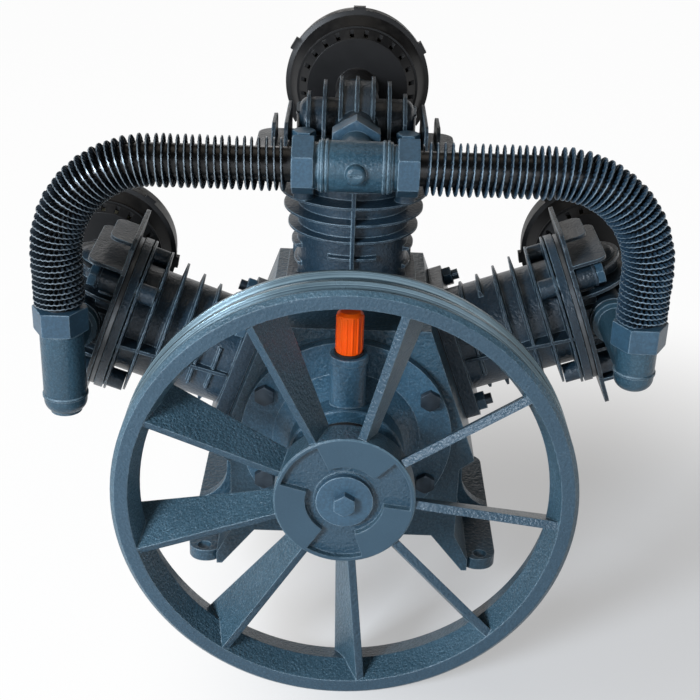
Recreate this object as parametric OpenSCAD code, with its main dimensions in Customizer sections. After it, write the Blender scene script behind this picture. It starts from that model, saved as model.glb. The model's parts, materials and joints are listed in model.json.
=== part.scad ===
// Three-cylinder W-type belt-driven air compressor pump head.
// Origin at the centre of the base on the mounting plane, +Z up, -Y towards the flywheel.
// Each cylinder has a frame of its own: X is t, Y is along the crank, Z is the distance
// from the crank axis.

/* [Flywheel] */
// Outside diameter of the flywheel
wheel_d = 300; // [290:2:306]
// Width of the flywheel rim
wheel_w = 36; // [34:1:38]
// Depth of each belt groove
groove_depth = 9.5; // [8:0.5:10]
// Width of a belt groove at the rim
groove_w = 12.7; // [11.5:0.1:13.2]
// Diameter of the hub disc
hub_d = 92; // [88:1:96]
// Number of fan blades
blade_count = 9; // [7:1:10]
// Thickness of a fan blade
blade_t = 5.5; // [4.5:0.5:6.5]
// Angle between a blade and the wheel's axis
blade_angle = 25; // [18:1:30]
// Direction of the first blade, seen from the front
blade_start = 33; // [0:1:39]

/* [Crankcase] */
// Height of the crank axis above the mounting plane
crank_h = 114; // [112:1:120]
// Distance from the crank axis to each cylinder deck
deck_a = 80; // [79:0.5:81]
// Half width of the case at its side walls
case_half_w = 82; // [80:0.5:84]
// Length of the mounting feet along the crank
foot_len = 156; // [150:2:160]
// Distance between the mounting holes across the crank
mount_x = 206; // [204:1:208]
// Distance between the mounting holes along the crank
mount_y = 140; // [136:1:144]
// Diameter of a mounting hole
mount_hole_d = 10; // [8:0.5:11]

/* [Cylinders] */
// Angle of each side cylinder from the vertical
lean = 70; // [69:0.5:72]
// Shift of each side cylinder along the crank
stagger = 18; // [18:0.5:19]
// Bore of a cylinder
bore_d = 65; // [60:1:66]
// Outside diameter of the barrel
barrel_d = 79; // [77:1:80]
// Number of cooling fins on a barrel
fin_count = 6; // [4:1:6]
// Distance from one barrel fin to the next
fin_pitch = 13.5; // [12.5:0.1:13.6]
// Radius of the top fin
fin_top_r = 57; // [55:0.5:58]
// Stroke of the pistons
stroke = 46; // [40:1:48]
// Length of a connecting rod between its bores
rod_len = 120; // [118:0.5:122]

/* [Heads] */
// Radius of a head's base plate
head_r = 70; // [68:0.5:71]
// Thickness of a head fin
head_fin_t = 2.5; // [2:0.1:3]
// Distance between the middle head fins
head_fin_pitch = 11; // [10.6:0.1:11.2]
// Height of the middle head fins above the crank axis
head_top_a = 233; // [229:0.5:235]

/* [Delivery pipes] */
// Distance of the pipes in front of the centre cylinder
pipe_y = 105; // [104:0.5:106]
// Radius of each pipe bend
bend_r = 65; // [60:1:70]
// Outside diameter of a pipe
pipe_d = 22; // [20:0.5:23]
// Diameter of the pipe fins
pipe_fin_d = 34; // [31:0.5:35]
// Distance from one pipe fin to the next
pipe_fin_pitch = 4; // [3.8:0.1:6]
// Width across flats of the pipe nuts
pipe_nut_af = 32; // [31:0.5:34]

/* [Filters and plug] */
// Radius of a filter's lip
filter_r = 54.5; // [53:0.5:56]
// Number of air slots round a filter
slot_count = 24; // [12:2:30]
// Diameter of the oil filler plug
plug_d = 18.5; // [17:0.5:20]
// Number of grip ribs on the filler plug
plug_ribs = 14; // [8:1:18]

/* [Hidden] */
$fn = 64;

paint = "#4a6378";
paint_dark = "#3b4f60";
nut_paint = "#5f7488";
black_plastic = "#1d1f22";
steel = "#9aa0a6";
iron = "#5c6064";
orange = "#ff6a1f";
rubber = "#17181a";

// Clearances
gap_run = 0.05;
gap_pivot = 0.3;
cut = 1;
chamfer = 1;

// Flywheel: z runs from the front face of the rim to its back
wheel_r = wheel_d / 2;
wheel_front = 180;
rim_bevel = 3;
rim_back_bevel = 1;
rim_edge_t = 11.5;
rim_mid_t = 17;
groove_count = 2;
groove_land = 3.2;
groove_side_angle = 19;
hub_r = hub_d / 2;
hub_face = 7.5;
hub_disc_back = 30;
hub_boss_r = 30;
hub_back = 50;
hub_edge_r = 3;
pocket_depth = 5;
pocket_in_r = 25.5;
pocket_out_r = 43;
pocket_span = 50;
pocket_dirs = [140, 18, 262];
boss_seat_r = 20;
washer_r = 18.5;
washer_t = 4;
bolt_hole_r = 4.2;
bolt_shank_r = 4;
bolt_len = 30;
hub_bolt_af = 13.5;
hub_bolt_h = 6;
blade_sink = 2;
blade_margin = 0.1;
blade_hub_front = 9;
blade_hub_back = 29;

// Crank train, y along the crank
crank_throw = stroke / 2;
nose_r = 14;
nose_y = -167.5;
journal_r = 15;
journal_y0 = -128;
seal_y0 = -121;
seal_y1 = -114.2;
bearing_r = 31;
bearing_w = 16;
front_bearing_y = -114;
back_bearing_y = -72;
bearing_ys = [front_bearing_y, back_bearing_y];
race_t = 5.5;
ball_r = 4.7;
ball_count = 9;
groove_play = 0.25;
cage_t = 1.6;
cage_w = 10;
web_y0 = -46;
web_y1 = -28.6;
web_r = 24;
weight_r = 50;
weight_half_angle = 62;
shaft_step_r = 18;
shaft_step_y = -54;
crankpin_r = 16;
crankpin_half = -web_y1 - gap_pivot;
crankpin_bore_r = 6;
key_w = 8;
key_h = 7;
key_len = 30;
key_y0 = -164;
key_sink = 4;

// Crankcase
el = 90 - lean;
deck_t = 14;
deck_low = 50;
sump_z = -84;
case_y0 = -80;
case_y1 = 70;
case_end_t = 12;
case_wall = 9;
step_down = 8;
cover_r = 74;
cover_open_r = 57;
cover_t = 8;
cover_gasket_t = 0.6;
cover_bolt_pcr = 66;
cover_bolt_count = 6;
cover_bolt_r = 4;
cover_bolt_len = 20;
cover_bolt_af = 13;
cover_bolt_h = 5;
leg_in_x = 65;
leg_out_z = -105;
foot_in_x = 89;
foot_out_x = 114.5;
foot_t = 9;
foot_corner = 12;
foot_root = 4;
gusset_t = 8;
gusset_r = 28;
gusset_dip = 0.5;
gusset_sweep = 78;
gusset_steps = 12;
housing_r = 40;
housing_y0 = -122;
housing_neck_y = -104;
housing_root_r = 52;
housing_in_y = -54;
housing_in_r = 39;
housing_relief_r = 28;
rear_dish_r = 50;
rear_dish_h = 6;
rear_boss_r = 24;
rear_boss_h = 11;
sight_z = -44;
sight_ring_r = 13;
sight_r = 9;
sight_t = 4;
sight_ring_h = 5;
drain_x = 30;
drain_z = -52;
drain_r = 7;
drain_af = 15;
drain_h = 7;
drain_boss_r = 11;

// Oil filler
filler_y = -107;
filler_r = 12;
filler_root_z = 145;
filler_top_z = 189;
filler_lip_r = 13;
filler_lip_h = 5;
filler_bore_r = 7;
ring_t = 2;
ring_r = 9.8;
plug_h = 29;
plug_stem = 14;
plug_rib_r = 0.9;
plug_top_r = 2;

// Cylinder, all distances from the crank axis
bore_r = bore_d / 2;
barrel_r = barrel_d / 2;
spigot_a = 60;
spigot_r = 36.5;
deck_hole_r = 36.6;
base_gasket_t = 0.6;
base_a = deck_a + base_gasket_t;
base_t = 10;
base_half = 47;
base_corner = 10;
base_stud = 37;
base_stud_r = 4;
base_nut_af = 13;
base_nut_h = 6.5;
stud_end = 5;
fin_low_a = 102.5;
fin_low_r = 42;
fin_rise_power = 1.3;
fin_root_t = 3.4;
fin_tip_t = 1.6;
low_fins = 2;
bar_half = 17;
cylinder_h = 98;
deck_top_a = deck_a + cylinder_h;
top_flange_t = 6;
top_flange_r = 57;
boss_r = 7;
boss_h = 20;
head_stud = 35;
barrel_rib_t = 2.5;
barrel_rib_top_r = 55.5;
barrel_rib_low_r = 42.5;
barrel_rib_low_a = 92;

// Valve plate, gaskets and reeds
gasket_t = 0.6;
valve_plate_t = 2.8;
valve_plate_r = 56;
gasket_r = 55.5;
port_y = 15;
port_count = 3;
port_pitch = 12;
suction_port_r = 4;
delivery_port_r = 3.5;
reed_t = 0.4;
reed_w = 38;
reed_d = 13;
reed_corner = 4;
window_half_t = 26;
window_in = 4;
window_out = 27;
window_corner = 5;

// Head
valve_a = deck_top_a + gasket_t;
head_a = valve_a + valve_plate_t + gasket_t;
head_plate_t = 3;
head_disc_r = 60;
head_ear_half = 40;
head_ear_corner = 12;
chamber_half = 32;
chamber_corner = 9;
chamber_h = 14;
chamber_in_h = 8;
fin_sink = 2;
barrel_up = 21;
barrel_a = head_a + barrel_up;
head_barrel_r = 16;
head_barrel_half = 39.5;
head_barrel_round = 7;
head_block_half = 13;
head_boss_half = 9.5;
head_boss_drop = 3;
arch_y = 2;
arch_low_a = head_a + chamber_in_h - fin_sink;
arch_half = 42;
side_arch_drop = 11;
side_arch_half = 26;
side_arch_r = 31;
wide_fin_t = 47;
wide_fin_y0 = -40;
wide_fin_y1 = 30;
wide_fin_y = [wide_fin_y0, wide_fin_y1];
wide_fin_up = 28;
wide_fin_a = head_a + wide_fin_up;
edge_fin_t = 57;
edge_fin_y0 = -13;
edge_fin_y1 = 25;
edge_fin_y = [edge_fin_y0, edge_fin_y1];
edge_fin_up = 20;
edge_fin_a = head_a + edge_fin_up;
plate_corner = 7;
bolt_boss_r = 8;
bolt_boss_up = 16;
bolt_boss_a = head_a + bolt_boss_up;
bolt_gap = 0.5;
head_bolt_r = 4.5;
head_bolt_in = 16;
head_bolt_a0 = deck_top_a - head_bolt_in;
head_bolt_af = 14;
head_bolt_h = 6;
head_washer_r = 8.5;
head_washer_t = 1.5;
delivery_up = 21;
delivery_a = head_a + delivery_up;
delivery_boss_r = 15;
delivery_thread_r = 13;
delivery_thread = 8;
delivery_boss_y = 52;
side_boss_y = 43;
side_boss_r = 17;
side_boss_ring = 6;
delivery_bore_r = 9;
intake_up = 24;
intake_a = head_a + intake_up;
intake_boss_r = 16;
intake_boss_y = 45;
intake_bore_r = 12;
port_depth = 32;

// Pistons and rods
wrist_r = 8;
wrist_bore_r = 4.5;
wrist_half = 27;
crown = 34.5;
skirt = 20;
piston_gap = 0.1;
piston_wall = 5;
crown_t = 8;
pin_boss_r = 13;
pin_boss_in = 10;
ring_gap = 0.02;
ring_depth = 3;
ring_h = 2.5;
oil_ring_h = 4;
top_ring_a = 28;
scraper_ring_a = 22;
oil_ring_a = 14;
ring_as = [top_ring_a, scraper_ring_a, oil_ring_a];
rod_w = 16;
rod_big_r = 22;
rod_small_r = 12.5;
rod_shank_big = 11;
rod_shank_small = 8;
rod_web_t = 6;
rod_rim = 3.5;
rod_cap_r = 4.5;
rod_cap_x = 20.5;
rod_cap_half = 12;

// Tee, nuts and pipes
tee_r = 16;
tee_half = 23;
tee_ring_w = 1.6;
tee_ring_in_x = 17;
tee_ring_out_x = 19.8;
tee_ring_xs = [tee_ring_in_x, tee_ring_out_x];
tee_ring_h = 0.8;
tee_collar_r = 14.5;
tee_collar_x = 26;
tee_spigot_r = 12.4;
tee_spigot_x = 34;
tee_bore_r = 9;
tee_branch_r = 11;
tee_flange_r = 12.8;
tee_flange_t = 5.5;
tee_plug_r = 6.5;
tee_plug_h = 4;
tee_plug_round = 3;
slot_w = 1.2;
slot_l = 7;
slot_d = 1;
union_af = 31.5;
union_h = 16;
union_y0 = 64;
union_seat = 10;
nut_x0 = 26;
nut_w = 13.6;
nut_seat = 9;
pipe_bore_r = 8;
pipe_fin_t = 0.9;
pipe_end = 4.5;
fin_start = 2.5;
left_nut_z = 199;
right_nut_z = 201.5;
lower_nut_h = 16.5;
left_elbow_r = 14.5;
left_elbow_z = 139;
right_elbow_r = 13.3;
right_elbow_z = 169.5;
elbow_round = 9;
elbow_ring_z = 12;
elbow_ring_h = 1.6;
elbow_ring_t = 0.8;
elbow_lip_h = 1.1;
elbow_branch_r = 12;
elbow_collar_r = 16;
elbow_collar_w = 6;
elbow_spigot_h = 9;
elbow_spigot_r = 12.4;
outlet_r = 8.3;
outlet_depth = 12.5;
outlet_throat_r = 6.5;
outlet_boss_r = 10.5;

// Filter, distances along Y from its cylinder's plane
neck_r = 15;
neck_bore_r = 11;
neck_spigot_r = 11.9;
neck_spigot = 14;
filter_disc_y = 78;
filter_disc_r = 37.5;
filter_slot_y = 84;
filter_slot_r = 44;
filter_wall = 2.5;
filter_ring_r = 45.5;
filter_ring_w = 2;
filter_cone_y = 97;
filter_cone_r = 51;
filter_lip_y = 98;
filter_lip_w = 6;
filter_body_r = 53;
filter_back_y = 128;
filter_back_round = 12;
filter_lugs = 6;
lug_w = 9;
lug_out = 2.2;
slot_t = 3;
element_in_r = 24;
element_out_r = 34;

function pin_t(k) = -k * crank_throw * sin(lean);
function pin_a(k) = k == 0 ? crank_throw : crank_throw * cos(lean);
function wrist_a(k) = pin_a(k) + sqrt(pow(rod_len, 2) - pow(pin_t(k), 2));
function fin_a(i) = fin_low_a + i * fin_pitch;
function fin_r(i) =
    fin_low_r + (fin_top_r - fin_low_r) * pow(i / (fin_count - 1), fin_rise_power);
function fin_points(i) = [
    [barrel_r, fin_a(i) - fin_root_t / 2],
    [fin_r(i), fin_a(i) - fin_tip_t / 2],
    [fin_r(i), fin_a(i) + fin_tip_t / 2],
    [barrel_r, fin_a(i) + fin_root_t / 2]
];
function pipe_x() = delivery_a * cos(el);
function port_z() = crank_h + delivery_a * sin(el);
function tee_z() = crank_h + delivery_a;

function deck_low_x() = deck_a * cos(el) + deck_low * sin(el);

function deck_low_z() = deck_a * sin(el) - deck_low * cos(el);

// Frames
module at_cylinder(k) {
    translate([0, k * stagger, crank_h]) rotate([0, k * lean, 0]) children();
}

module along_crank(y) {
    translate([0, y, crank_h]) rotate([-90, 0, 0]) children();
}

module crank_profile(y0, y1) {
    translate([0, y1, crank_h]) rotate([90, 0, 0]) linear_extrude(y1 - y0) children();
}

module across_t(t, w) {
    translate([t - w / 2, 0, 0]) rotate([90, 0, 90]) linear_extrude(w) children();
}

module front_port(a) {
    translate([0, 0, a]) rotate([90, 0, 0]) children();
}

module rear_port(a) {
    translate([0, 0, a]) rotate([-90, 0, 0]) children();
}

module four(d) {
    for (x = [-d, d], y = [-d, d]) translate([x, y, 0]) children();
}

// Shared shapes
module rounded_square(half_x, half_y, r) {
    square([2 * half_x, 2 * (half_y - r)], center = true);
    square([2 * (half_x - r), 2 * half_y], center = true);
    for (x = [r - half_x, half_x - r], y = [r - half_y, half_y - r]) {
        translate([x, y]) circle(r);
    }
}

module ring(out_r, in_r, h) {
    difference() {
        cylinder(r = out_r, h = h);
        translate([0, 0, -cut]) cylinder(r = in_r, h = h + 2 * cut);
    }
}

module hexagon(af, h) {
    corner = af / cos(30) / 2;
    intersection() {
        cylinder(r = corner, h = h, $fn = 6);
        rotate_extrude() polygon([
            [0, 0],
            [corner - chamfer, 0],
            [corner, chamfer / 2],
            [corner, h - chamfer / 2],
            [corner - chamfer, h],
            [0, h]
        ]);
    }
}

module hex_bolt(af, head_h, shank_r, len) {
    hexagon(af, head_h);
    translate([0, 0, -len]) cylinder(r = shank_r, h = len);
}

module sector(r, half_angle, dir) {
    polygon([
        [0, 0],
        for (i = [-2 : 2]) 2 * r * [cos(dir + half_angle * i / 2), sin(dir + half_angle * i / 2)]
    ]);
}

// Crankcase
module case_outline() {
    top_x = deck_a * (1 - sin(el)) / cos(el);
    low_x = deck_low_x();
    low_z = deck_low_z();
    polygon([
        [-top_x, deck_a],
        [top_x, deck_a],
        [low_x, low_z],
        [case_half_w, low_z - step_down],
        [case_half_w, sump_z],
        [foot_in_x + foot_root, leg_out_z],
        [foot_in_x + foot_root, -crank_h],
        [foot_in_x, -crank_h],
        [leg_in_x, sump_z],
        [-leg_in_x, sump_z],
        [-foot_in_x, -crank_h],
        [-foot_in_x - foot_root, -crank_h],
        [-foot_in_x - foot_root, leg_out_z],
        [-case_half_w, sump_z],
        [-case_half_w, low_z - step_down],
        [-low_x, low_z]
    ]);
}

module case_cavity() {
    in_a = deck_a - deck_t;
    top_x = in_a * (1 - sin(el)) / cos(el);
    wall_x = case_half_w - case_wall;
    wall_z = (in_a - wall_x * cos(el)) / sin(el);
    floor_z = sump_z + case_wall;
    polygon([
        [-top_x, in_a],
        [top_x, in_a],
        [wall_x, wall_z],
        [wall_x, floor_z + step_down],
        [wall_x - step_down, floor_z],
        [step_down - wall_x, floor_z],
        [-wall_x, floor_z + step_down],
        [-wall_x, wall_z]
    ]);
}

module foot_rails() {
    mid_x = (foot_in_x + foot_out_x) / 2;
    half_x = (foot_out_x - foot_in_x) / 2;
    for (s = [-1, 1]) {
        translate([s * mid_x, 0, 0]) linear_extrude(foot_t)
            rounded_square(half_x, foot_len / 2, foot_corner);
    }
}

// Curved webs from the side decks down to the middle of the foot rails
module gussets() {
    arc_x = deck_low_x() + gusset_r;
    arc_z = foot_t - gusset_dip + gusset_r - crank_h;
    wall_x = case_half_w - chamfer;
    for (s = [0, 1]) mirror([s, 0, 0]) crank_profile(-gusset_t / 2, gusset_t / 2) polygon([
        [wall_x, foot_t - chamfer - crank_h],
        [arc_x + gusset_r * cos(180 + gusset_sweep), foot_t - chamfer - crank_h],
        for (i = [0 : gusset_steps]) [
            arc_x + gusset_r * cos(180 + gusset_sweep * (1 - i / gusset_steps)),
            arc_z + gusset_r * sin(180 + gusset_sweep * (1 - i / gusset_steps))
        ],
        [deck_low_x() - gusset_dip, deck_low_z()],
        [wall_x, deck_low_z()]
    ]);
}

module cover_bolt_circle() {
    for (i = [0 : cover_bolt_count - 1]) {
        rotate([0, 0, 90 + i * 360 / cover_bolt_count])
            translate([cover_bolt_pcr, 0, 0]) children();
    }
}

module crankcase() {
    color(paint_dark) difference() {
        union() {
            crank_profile(case_y0, case_y1) case_outline();
            foot_rails();
            gussets();
        }
        crank_profile(case_y0 + case_end_t, case_y1 - case_end_t) case_cavity();
        along_crank(case_y0 - cut) cylinder(r = cover_open_r, h = case_y1 - case_y0 + 2 * cut);
        for (k = [-1, 0, 1]) at_cylinder(k) {
            translate([0, 0, spigot_a - cut]) cylinder(r = deck_hole_r, h = deck_a);
            four(base_stud) translate([0, 0, deck_a - deck_t])
                cylinder(r = base_stud_r, h = deck_a);
        }
        for (y = [case_y0 - cut, case_y1 - case_end_t]) along_crank(y)
            cover_bolt_circle() cylinder(r = cover_bolt_r, h = case_end_t + cut);
        for (x = [-mount_x / 2, mount_x / 2], y = [-mount_y / 2, mount_y / 2]) {
            translate([x, y, -cut]) cylinder(d = mount_hole_d, h = foot_t + 2 * cut);
        }
    }
}

module front_cover() {
    cover_front = case_y0 - cover_gasket_t - cover_t;
    color(paint) difference() {
        union() {
            along_crank(cover_front) cylinder(r = cover_r, h = cover_t);
            along_crank(0) rotate_extrude() polygon([
                [0, housing_y0],
                [housing_r - chamfer, housing_y0],
                [housing_r, housing_y0 + chamfer],
                [housing_r, housing_neck_y],
                [housing_root_r, cover_front + chamfer],
                [housing_in_r, cover_front + cover_t],
                [housing_in_r, housing_in_y],
                [0, housing_in_y]
            ]);
            translate([0, filler_y, filler_root_z])
                cylinder(r = filler_r, h = filler_top_z - filler_root_z);
            translate([0, filler_y, filler_top_z - filler_lip_h])
                cylinder(r = filler_lip_r, h = filler_lip_h);
        }
        along_crank(housing_y0 - cut)
            cylinder(r = bearing_r, h = bearing_ys[0] + bearing_w - housing_y0 + cut);
        along_crank(housing_neck_y) cylinder(r = housing_relief_r, h = -housing_neck_y);
        along_crank(bearing_ys[1]) cylinder(r = bearing_r, h = -bearing_ys[1]);
        along_crank(cover_front - cut) cover_bolt_circle()
            cylinder(r = cover_bolt_r, h = cover_t + 2 * cut);
        translate([0, filler_y, crank_h]) cylinder(r = filler_bore_r, h = filler_top_z);
    }
}

module rear_cover() {
    y0 = case_y1 + cover_gasket_t;
    color(paint) difference() {
        union() {
            along_crank(0) rotate_extrude() polygon([
                [0, y0],
                [cover_r, y0],
                [cover_r, y0 + cover_t - chamfer],
                [cover_r - chamfer, y0 + cover_t],
                [rear_dish_r + rear_dish_h, y0 + cover_t],
                [rear_dish_r, y0 + cover_t + rear_dish_h],
                [0, y0 + cover_t + rear_dish_h]
            ]);
            along_crank(y0) cylinder(r = rear_boss_r, h = cover_t + rear_boss_h);
            translate([0, 0, sight_z])
                along_crank(y0) cylinder(r = sight_ring_r + chamfer, h = cover_t + rear_dish_h);
            translate([drain_x, 0, drain_z])
                along_crank(y0) cylinder(r = drain_boss_r, h = cover_t + rear_dish_h);
        }
        along_crank(y0 - cut) cylinder(r = rear_boss_r - chamfer - cover_t, h = cover_t);
        along_crank(y0 - cut) cover_bolt_circle()
            cylinder(r = cover_bolt_r, h = cover_t + 2 * cut);
        translate([0, 0, sight_z])
            along_crank(y0 - cut) cylinder(r = sight_r, h = cover_t + rear_boss_h);
        translate([drain_x, 0, drain_z])
            along_crank(y0 - cut) cylinder(r = drain_r, h = cover_t + rear_boss_h);
    }
}

module cover_gaskets() {
    color(rubber) for (y = [case_y0 - cover_gasket_t, case_y1]) along_crank(y) difference() {
        ring(cover_r, cover_open_r, cover_gasket_t);
        cover_bolt_circle() translate([0, 0, -cut])
            cylinder(r = cover_bolt_r, h = cover_gasket_t + 2 * cut);
    }
}

module cover_bolts() {
    color(steel) {
        along_crank(case_y0 - cover_gasket_t - cover_t) cover_bolt_circle()
            mirror([0, 0, 1]) hex_bolt(cover_bolt_af, cover_bolt_h, cover_bolt_r, cover_bolt_len - cut);
        along_crank(case_y1 + cover_gasket_t + cover_t) cover_bolt_circle()
            hex_bolt(cover_bolt_af, cover_bolt_h, cover_bolt_r, cover_bolt_len - cut);
    }
}

module oil_seal() {
    color(rubber) along_crank(0) rotate_extrude() polygon([
        [bearing_r, seal_y0],
        [bearing_r, seal_y1],
        [journal_r + gap_run, seal_y1],
        [journal_r + gap_run, seal_y1 - chamfer],
        [journal_r + race_t, (seal_y0 + seal_y1) / 2],
        [journal_r + gap_run, seal_y0 + chamfer],
        [journal_r + gap_run, seal_y0]
    ]);
}

module race(r0, r1) {
    ball_path = (journal_r + bearing_r) / 2;
    for (y = bearing_ys) along_crank(y) rotate_extrude() difference() {
        translate([r0, 0]) square([r1 - r0, bearing_w]);
        translate([ball_path, bearing_w / 2]) circle(ball_r + groove_play);
    }
}

module bearing_outer_rings() {
    color(steel) race(bearing_r - race_t + chamfer / 2, bearing_r);
}

module bearing_inner_rings() {
    color(steel) race(journal_r, journal_r + race_t - chamfer / 2);
}

module ball_places() {
    ball_path = (journal_r + bearing_r) / 2;
    for (y = bearing_ys) along_crank(y + bearing_w / 2) {
        for (i = [0 : ball_count - 1]) {
            rotate([0, 0, i * 360 / ball_count]) translate([ball_path, 0, 0]) children();
        }
    }
}

module bearing_balls() {
    color(steel) ball_places() sphere(ball_r);
}

module bearing_cages() {
    ball_path = (journal_r + bearing_r) / 2;
    color(iron) difference() {
        for (y = bearing_ys) along_crank(y + (bearing_w - cage_w) / 2)
            ring(ball_path + cage_t / 2, ball_path - cage_t / 2, cage_w);
        ball_places() rotate([0, 90, 0])
            cylinder(r = ball_r + gap_run, h = 2 * ball_r, center = true);
    }
}

module sight_glass() {
    y = case_y1 + cover_gasket_t + cover_t + rear_dish_h - sight_t;
    color("#c9d8d2") translate([0, 0, sight_z]) along_crank(y)
        cylinder(r = sight_r, h = sight_t);
}

module sight_glass_ring() {
    y = case_y1 + cover_gasket_t + cover_t + rear_dish_h;
    color(steel) translate([0, 0, sight_z]) along_crank(y) rotate_extrude() polygon([
        [sight_r - chamfer, 0],
        [sight_ring_r, 0],
        [sight_ring_r, sight_ring_h - chamfer],
        [sight_ring_r - chamfer, sight_ring_h],
        [sight_r + chamfer, sight_ring_h],
        [sight_r - chamfer, sight_ring_h - 2 * chamfer]
    ]);
}

module drain_plug() {
    y = case_y1 + cover_gasket_t + cover_t + rear_dish_h;
    color(steel) translate([drain_x, 0, drain_z]) along_crank(y)
        hex_bolt(drain_af, drain_h, drain_r, cover_t + rear_dish_h);
}

// Cylinders
module cylinder_body() {
    difference() {
        union() {
            rotate_extrude() polygon([
                [bore_r, spigot_a],
                [spigot_r - chamfer, spigot_a],
                [spigot_r, spigot_a + chamfer],
                [spigot_r, base_a],
                [barrel_r, base_a],
                for (i = [low_fins : fin_count - 1]) each fin_points(i),
                [barrel_r, deck_top_a - top_flange_t],
                [top_flange_r, deck_top_a - top_flange_t],
                [top_flange_r, deck_top_a],
                [bore_r, deck_top_a]
            ]);
            difference() {
                rotate_extrude() polygon([
                    [bore_r + chamfer, fin_a(0) - fin_root_t / 2],
                    for (i = [0 : low_fins - 1]) each fin_points(i),
                    [bore_r + chamfer, fin_a(low_fins - 1) + fin_root_t / 2]
                ]);
                for (q = [0 : 3]) rotate([0, 0, 90 * q]) {
                    translate([bar_half, bar_half, base_a]) cube([base_half, base_half, base_half]);
                }
            }
            translate([0, 0, base_a]) linear_extrude(base_t)
                rounded_square(base_half, base_half, base_corner);
            four(head_stud) translate([0, 0, deck_top_a - boss_h])
                cylinder(r = boss_r, h = boss_h - chamfer);
            for (s = [0, 1]) mirror([0, s, 0]) across_t(0, barrel_rib_t) polygon([
                [bore_r + chamfer, barrel_rib_low_a],
                [barrel_rib_low_r, barrel_rib_low_a],
                [barrel_rib_top_r, deck_top_a - top_flange_t],
                [bore_r + chamfer, deck_top_a - top_flange_t]
            ]);
        }
        translate([0, 0, spigot_a - cut]) cylinder(r = bore_r, h = deck_top_a);
        four(base_stud) translate([0, 0, deck_a - cut])
            cylinder(r = base_stud_r, h = base_t + 2 * cut);
        four(head_stud) translate([0, 0, head_bolt_a0])
            cylinder(r = head_bolt_r, h = deck_top_a);
    }
}

module left_cylinder() {
    color(paint) at_cylinder(-1) cylinder_body();
}

module centre_cylinder() {
    color(paint) at_cylinder(0) cylinder_body();
}

module right_cylinder() {
    color(paint) at_cylinder(1) cylinder_body();
}

module base_gaskets() {
    color(rubber) for (k = [-1, 0, 1]) at_cylinder(k) translate([0, 0, deck_a])
        linear_extrude(base_gasket_t) difference() {
            rounded_square(base_half, base_half, base_corner);
            circle(spigot_r);
            four(base_stud) circle(base_stud_r);
        }
}

module base_studs() {
    top = base_a + base_t + base_nut_h + stud_end;
    color(steel) for (k = [-1, 0, 1]) at_cylinder(k) four(base_stud)
        translate([0, 0, deck_a - deck_t]) cylinder(r = base_stud_r, h = top - deck_a + deck_t);
}

module base_nuts() {
    color(nut_paint) for (k = [-1, 0, 1]) at_cylinder(k) four(base_stud)
        translate([0, 0, base_a + base_t]) difference() {
            hexagon(base_nut_af, base_nut_h);
            translate([0, 0, -cut]) cylinder(r = base_stud_r, h = base_nut_h + 2 * cut);
        }
}

// Valve plates
module port_row(y, r) {
    for (i = [0 : port_count - 1]) {
        translate([(i - (port_count - 1) / 2) * port_pitch, y]) circle(r);
    }
}

module valve_plate() {
    translate([0, 0, valve_a]) linear_extrude(valve_plate_t) difference() {
        circle(valve_plate_r);
        port_row(port_y, suction_port_r);
        port_row(-port_y, delivery_port_r);
        four(head_stud) circle(head_bolt_r);
    }
}

module left_valve_plate() {
    color(steel) at_cylinder(-1) valve_plate();
}

module centre_valve_plate() {
    color(steel) at_cylinder(0) valve_plate();
}

module right_valve_plate() {
    color(steel) at_cylinder(1) valve_plate();
}

module chamber_windows() {
    mid = (window_in + window_out) / 2;
    half = (window_out - window_in) / 2;
    for (s = [-1, 1]) translate([0, s * mid])
        rounded_square(window_half_t, half, window_corner);
}

module head_gaskets() {
    color(rubber) for (k = [-1, 0, 1]) at_cylinder(k) {
        translate([0, 0, deck_top_a]) linear_extrude(gasket_t) difference() {
            circle(gasket_r);
            circle(bore_r);
            four(head_stud) circle(head_bolt_r);
        }
        translate([0, 0, head_a - gasket_t]) linear_extrude(gasket_t) difference() {
            circle(gasket_r);
            chamber_windows();
            four(head_stud) circle(head_bolt_r);
        }
    }
}

module reed() {
    linear_extrude(reed_t) rounded_square(reed_w / 2, reed_d / 2, reed_corner);
}

module reed_valves() {
    color(steel) for (k = [-1, 0, 1]) at_cylinder(k) {
        translate([0, port_y, valve_a - reed_t]) reed();
        translate([0, -port_y, valve_a + valve_plate_t]) reed();
    }
}

// Heads
module arch(top, half) {
    r = top - arch_low_a;
    intersection() {
        translate([arch_y, arch_low_a]) circle(r);
        translate([arch_y - half, head_a]) square([2 * half, top]);
    }
}

module plate_fin(span, top) {
    y = (span[0] + span[1]) / 2;
    half = (span[1] - span[0]) / 2;
    translate([y, head_a]) intersection() {
        translate([-half, 0]) square([2 * half, top]);
        translate([0, top - head_a - half]) rounded_square(half, half, plate_corner);
    }
    translate([span[0], head_a]) square([2 * half, top - head_a - plate_corner]);
}

module rounded_bar(r, half, round_r) {
    rotate_extrude() {
        translate([0, -half]) square([r - round_r, 2 * half]);
        translate([0, round_r - half]) square([r, 2 * (half - round_r)]);
        for (z = [round_r - half, half - round_r]) translate([r - round_r, z]) circle(round_r);
    }
}

module head_fins() {
    for (i = [-2 : 2]) {
        top = head_top_a - (abs(i) == 2 ? head_boss_drop : 0);
        across_t(i * head_fin_pitch, head_fin_t) arch(top, arch_half);
    }
    for (s = [-1, 1]) {
        across_t(3 * s * head_fin_pitch, head_fin_t) intersection() {
            arch(head_top_a - side_arch_drop, side_arch_half);
            translate([arch_y, head_top_a - side_arch_drop - side_arch_r]) {
                circle(side_arch_r);
                translate([-side_arch_r, -head_a]) square([2 * side_arch_r, head_a]);
            }
        }
        across_t(s * wide_fin_t, head_fin_t) plate_fin(wide_fin_y, wide_fin_a);
        across_t(s * edge_fin_t, head_fin_t) plate_fin(edge_fin_y, edge_fin_a);
    }
}

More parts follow.
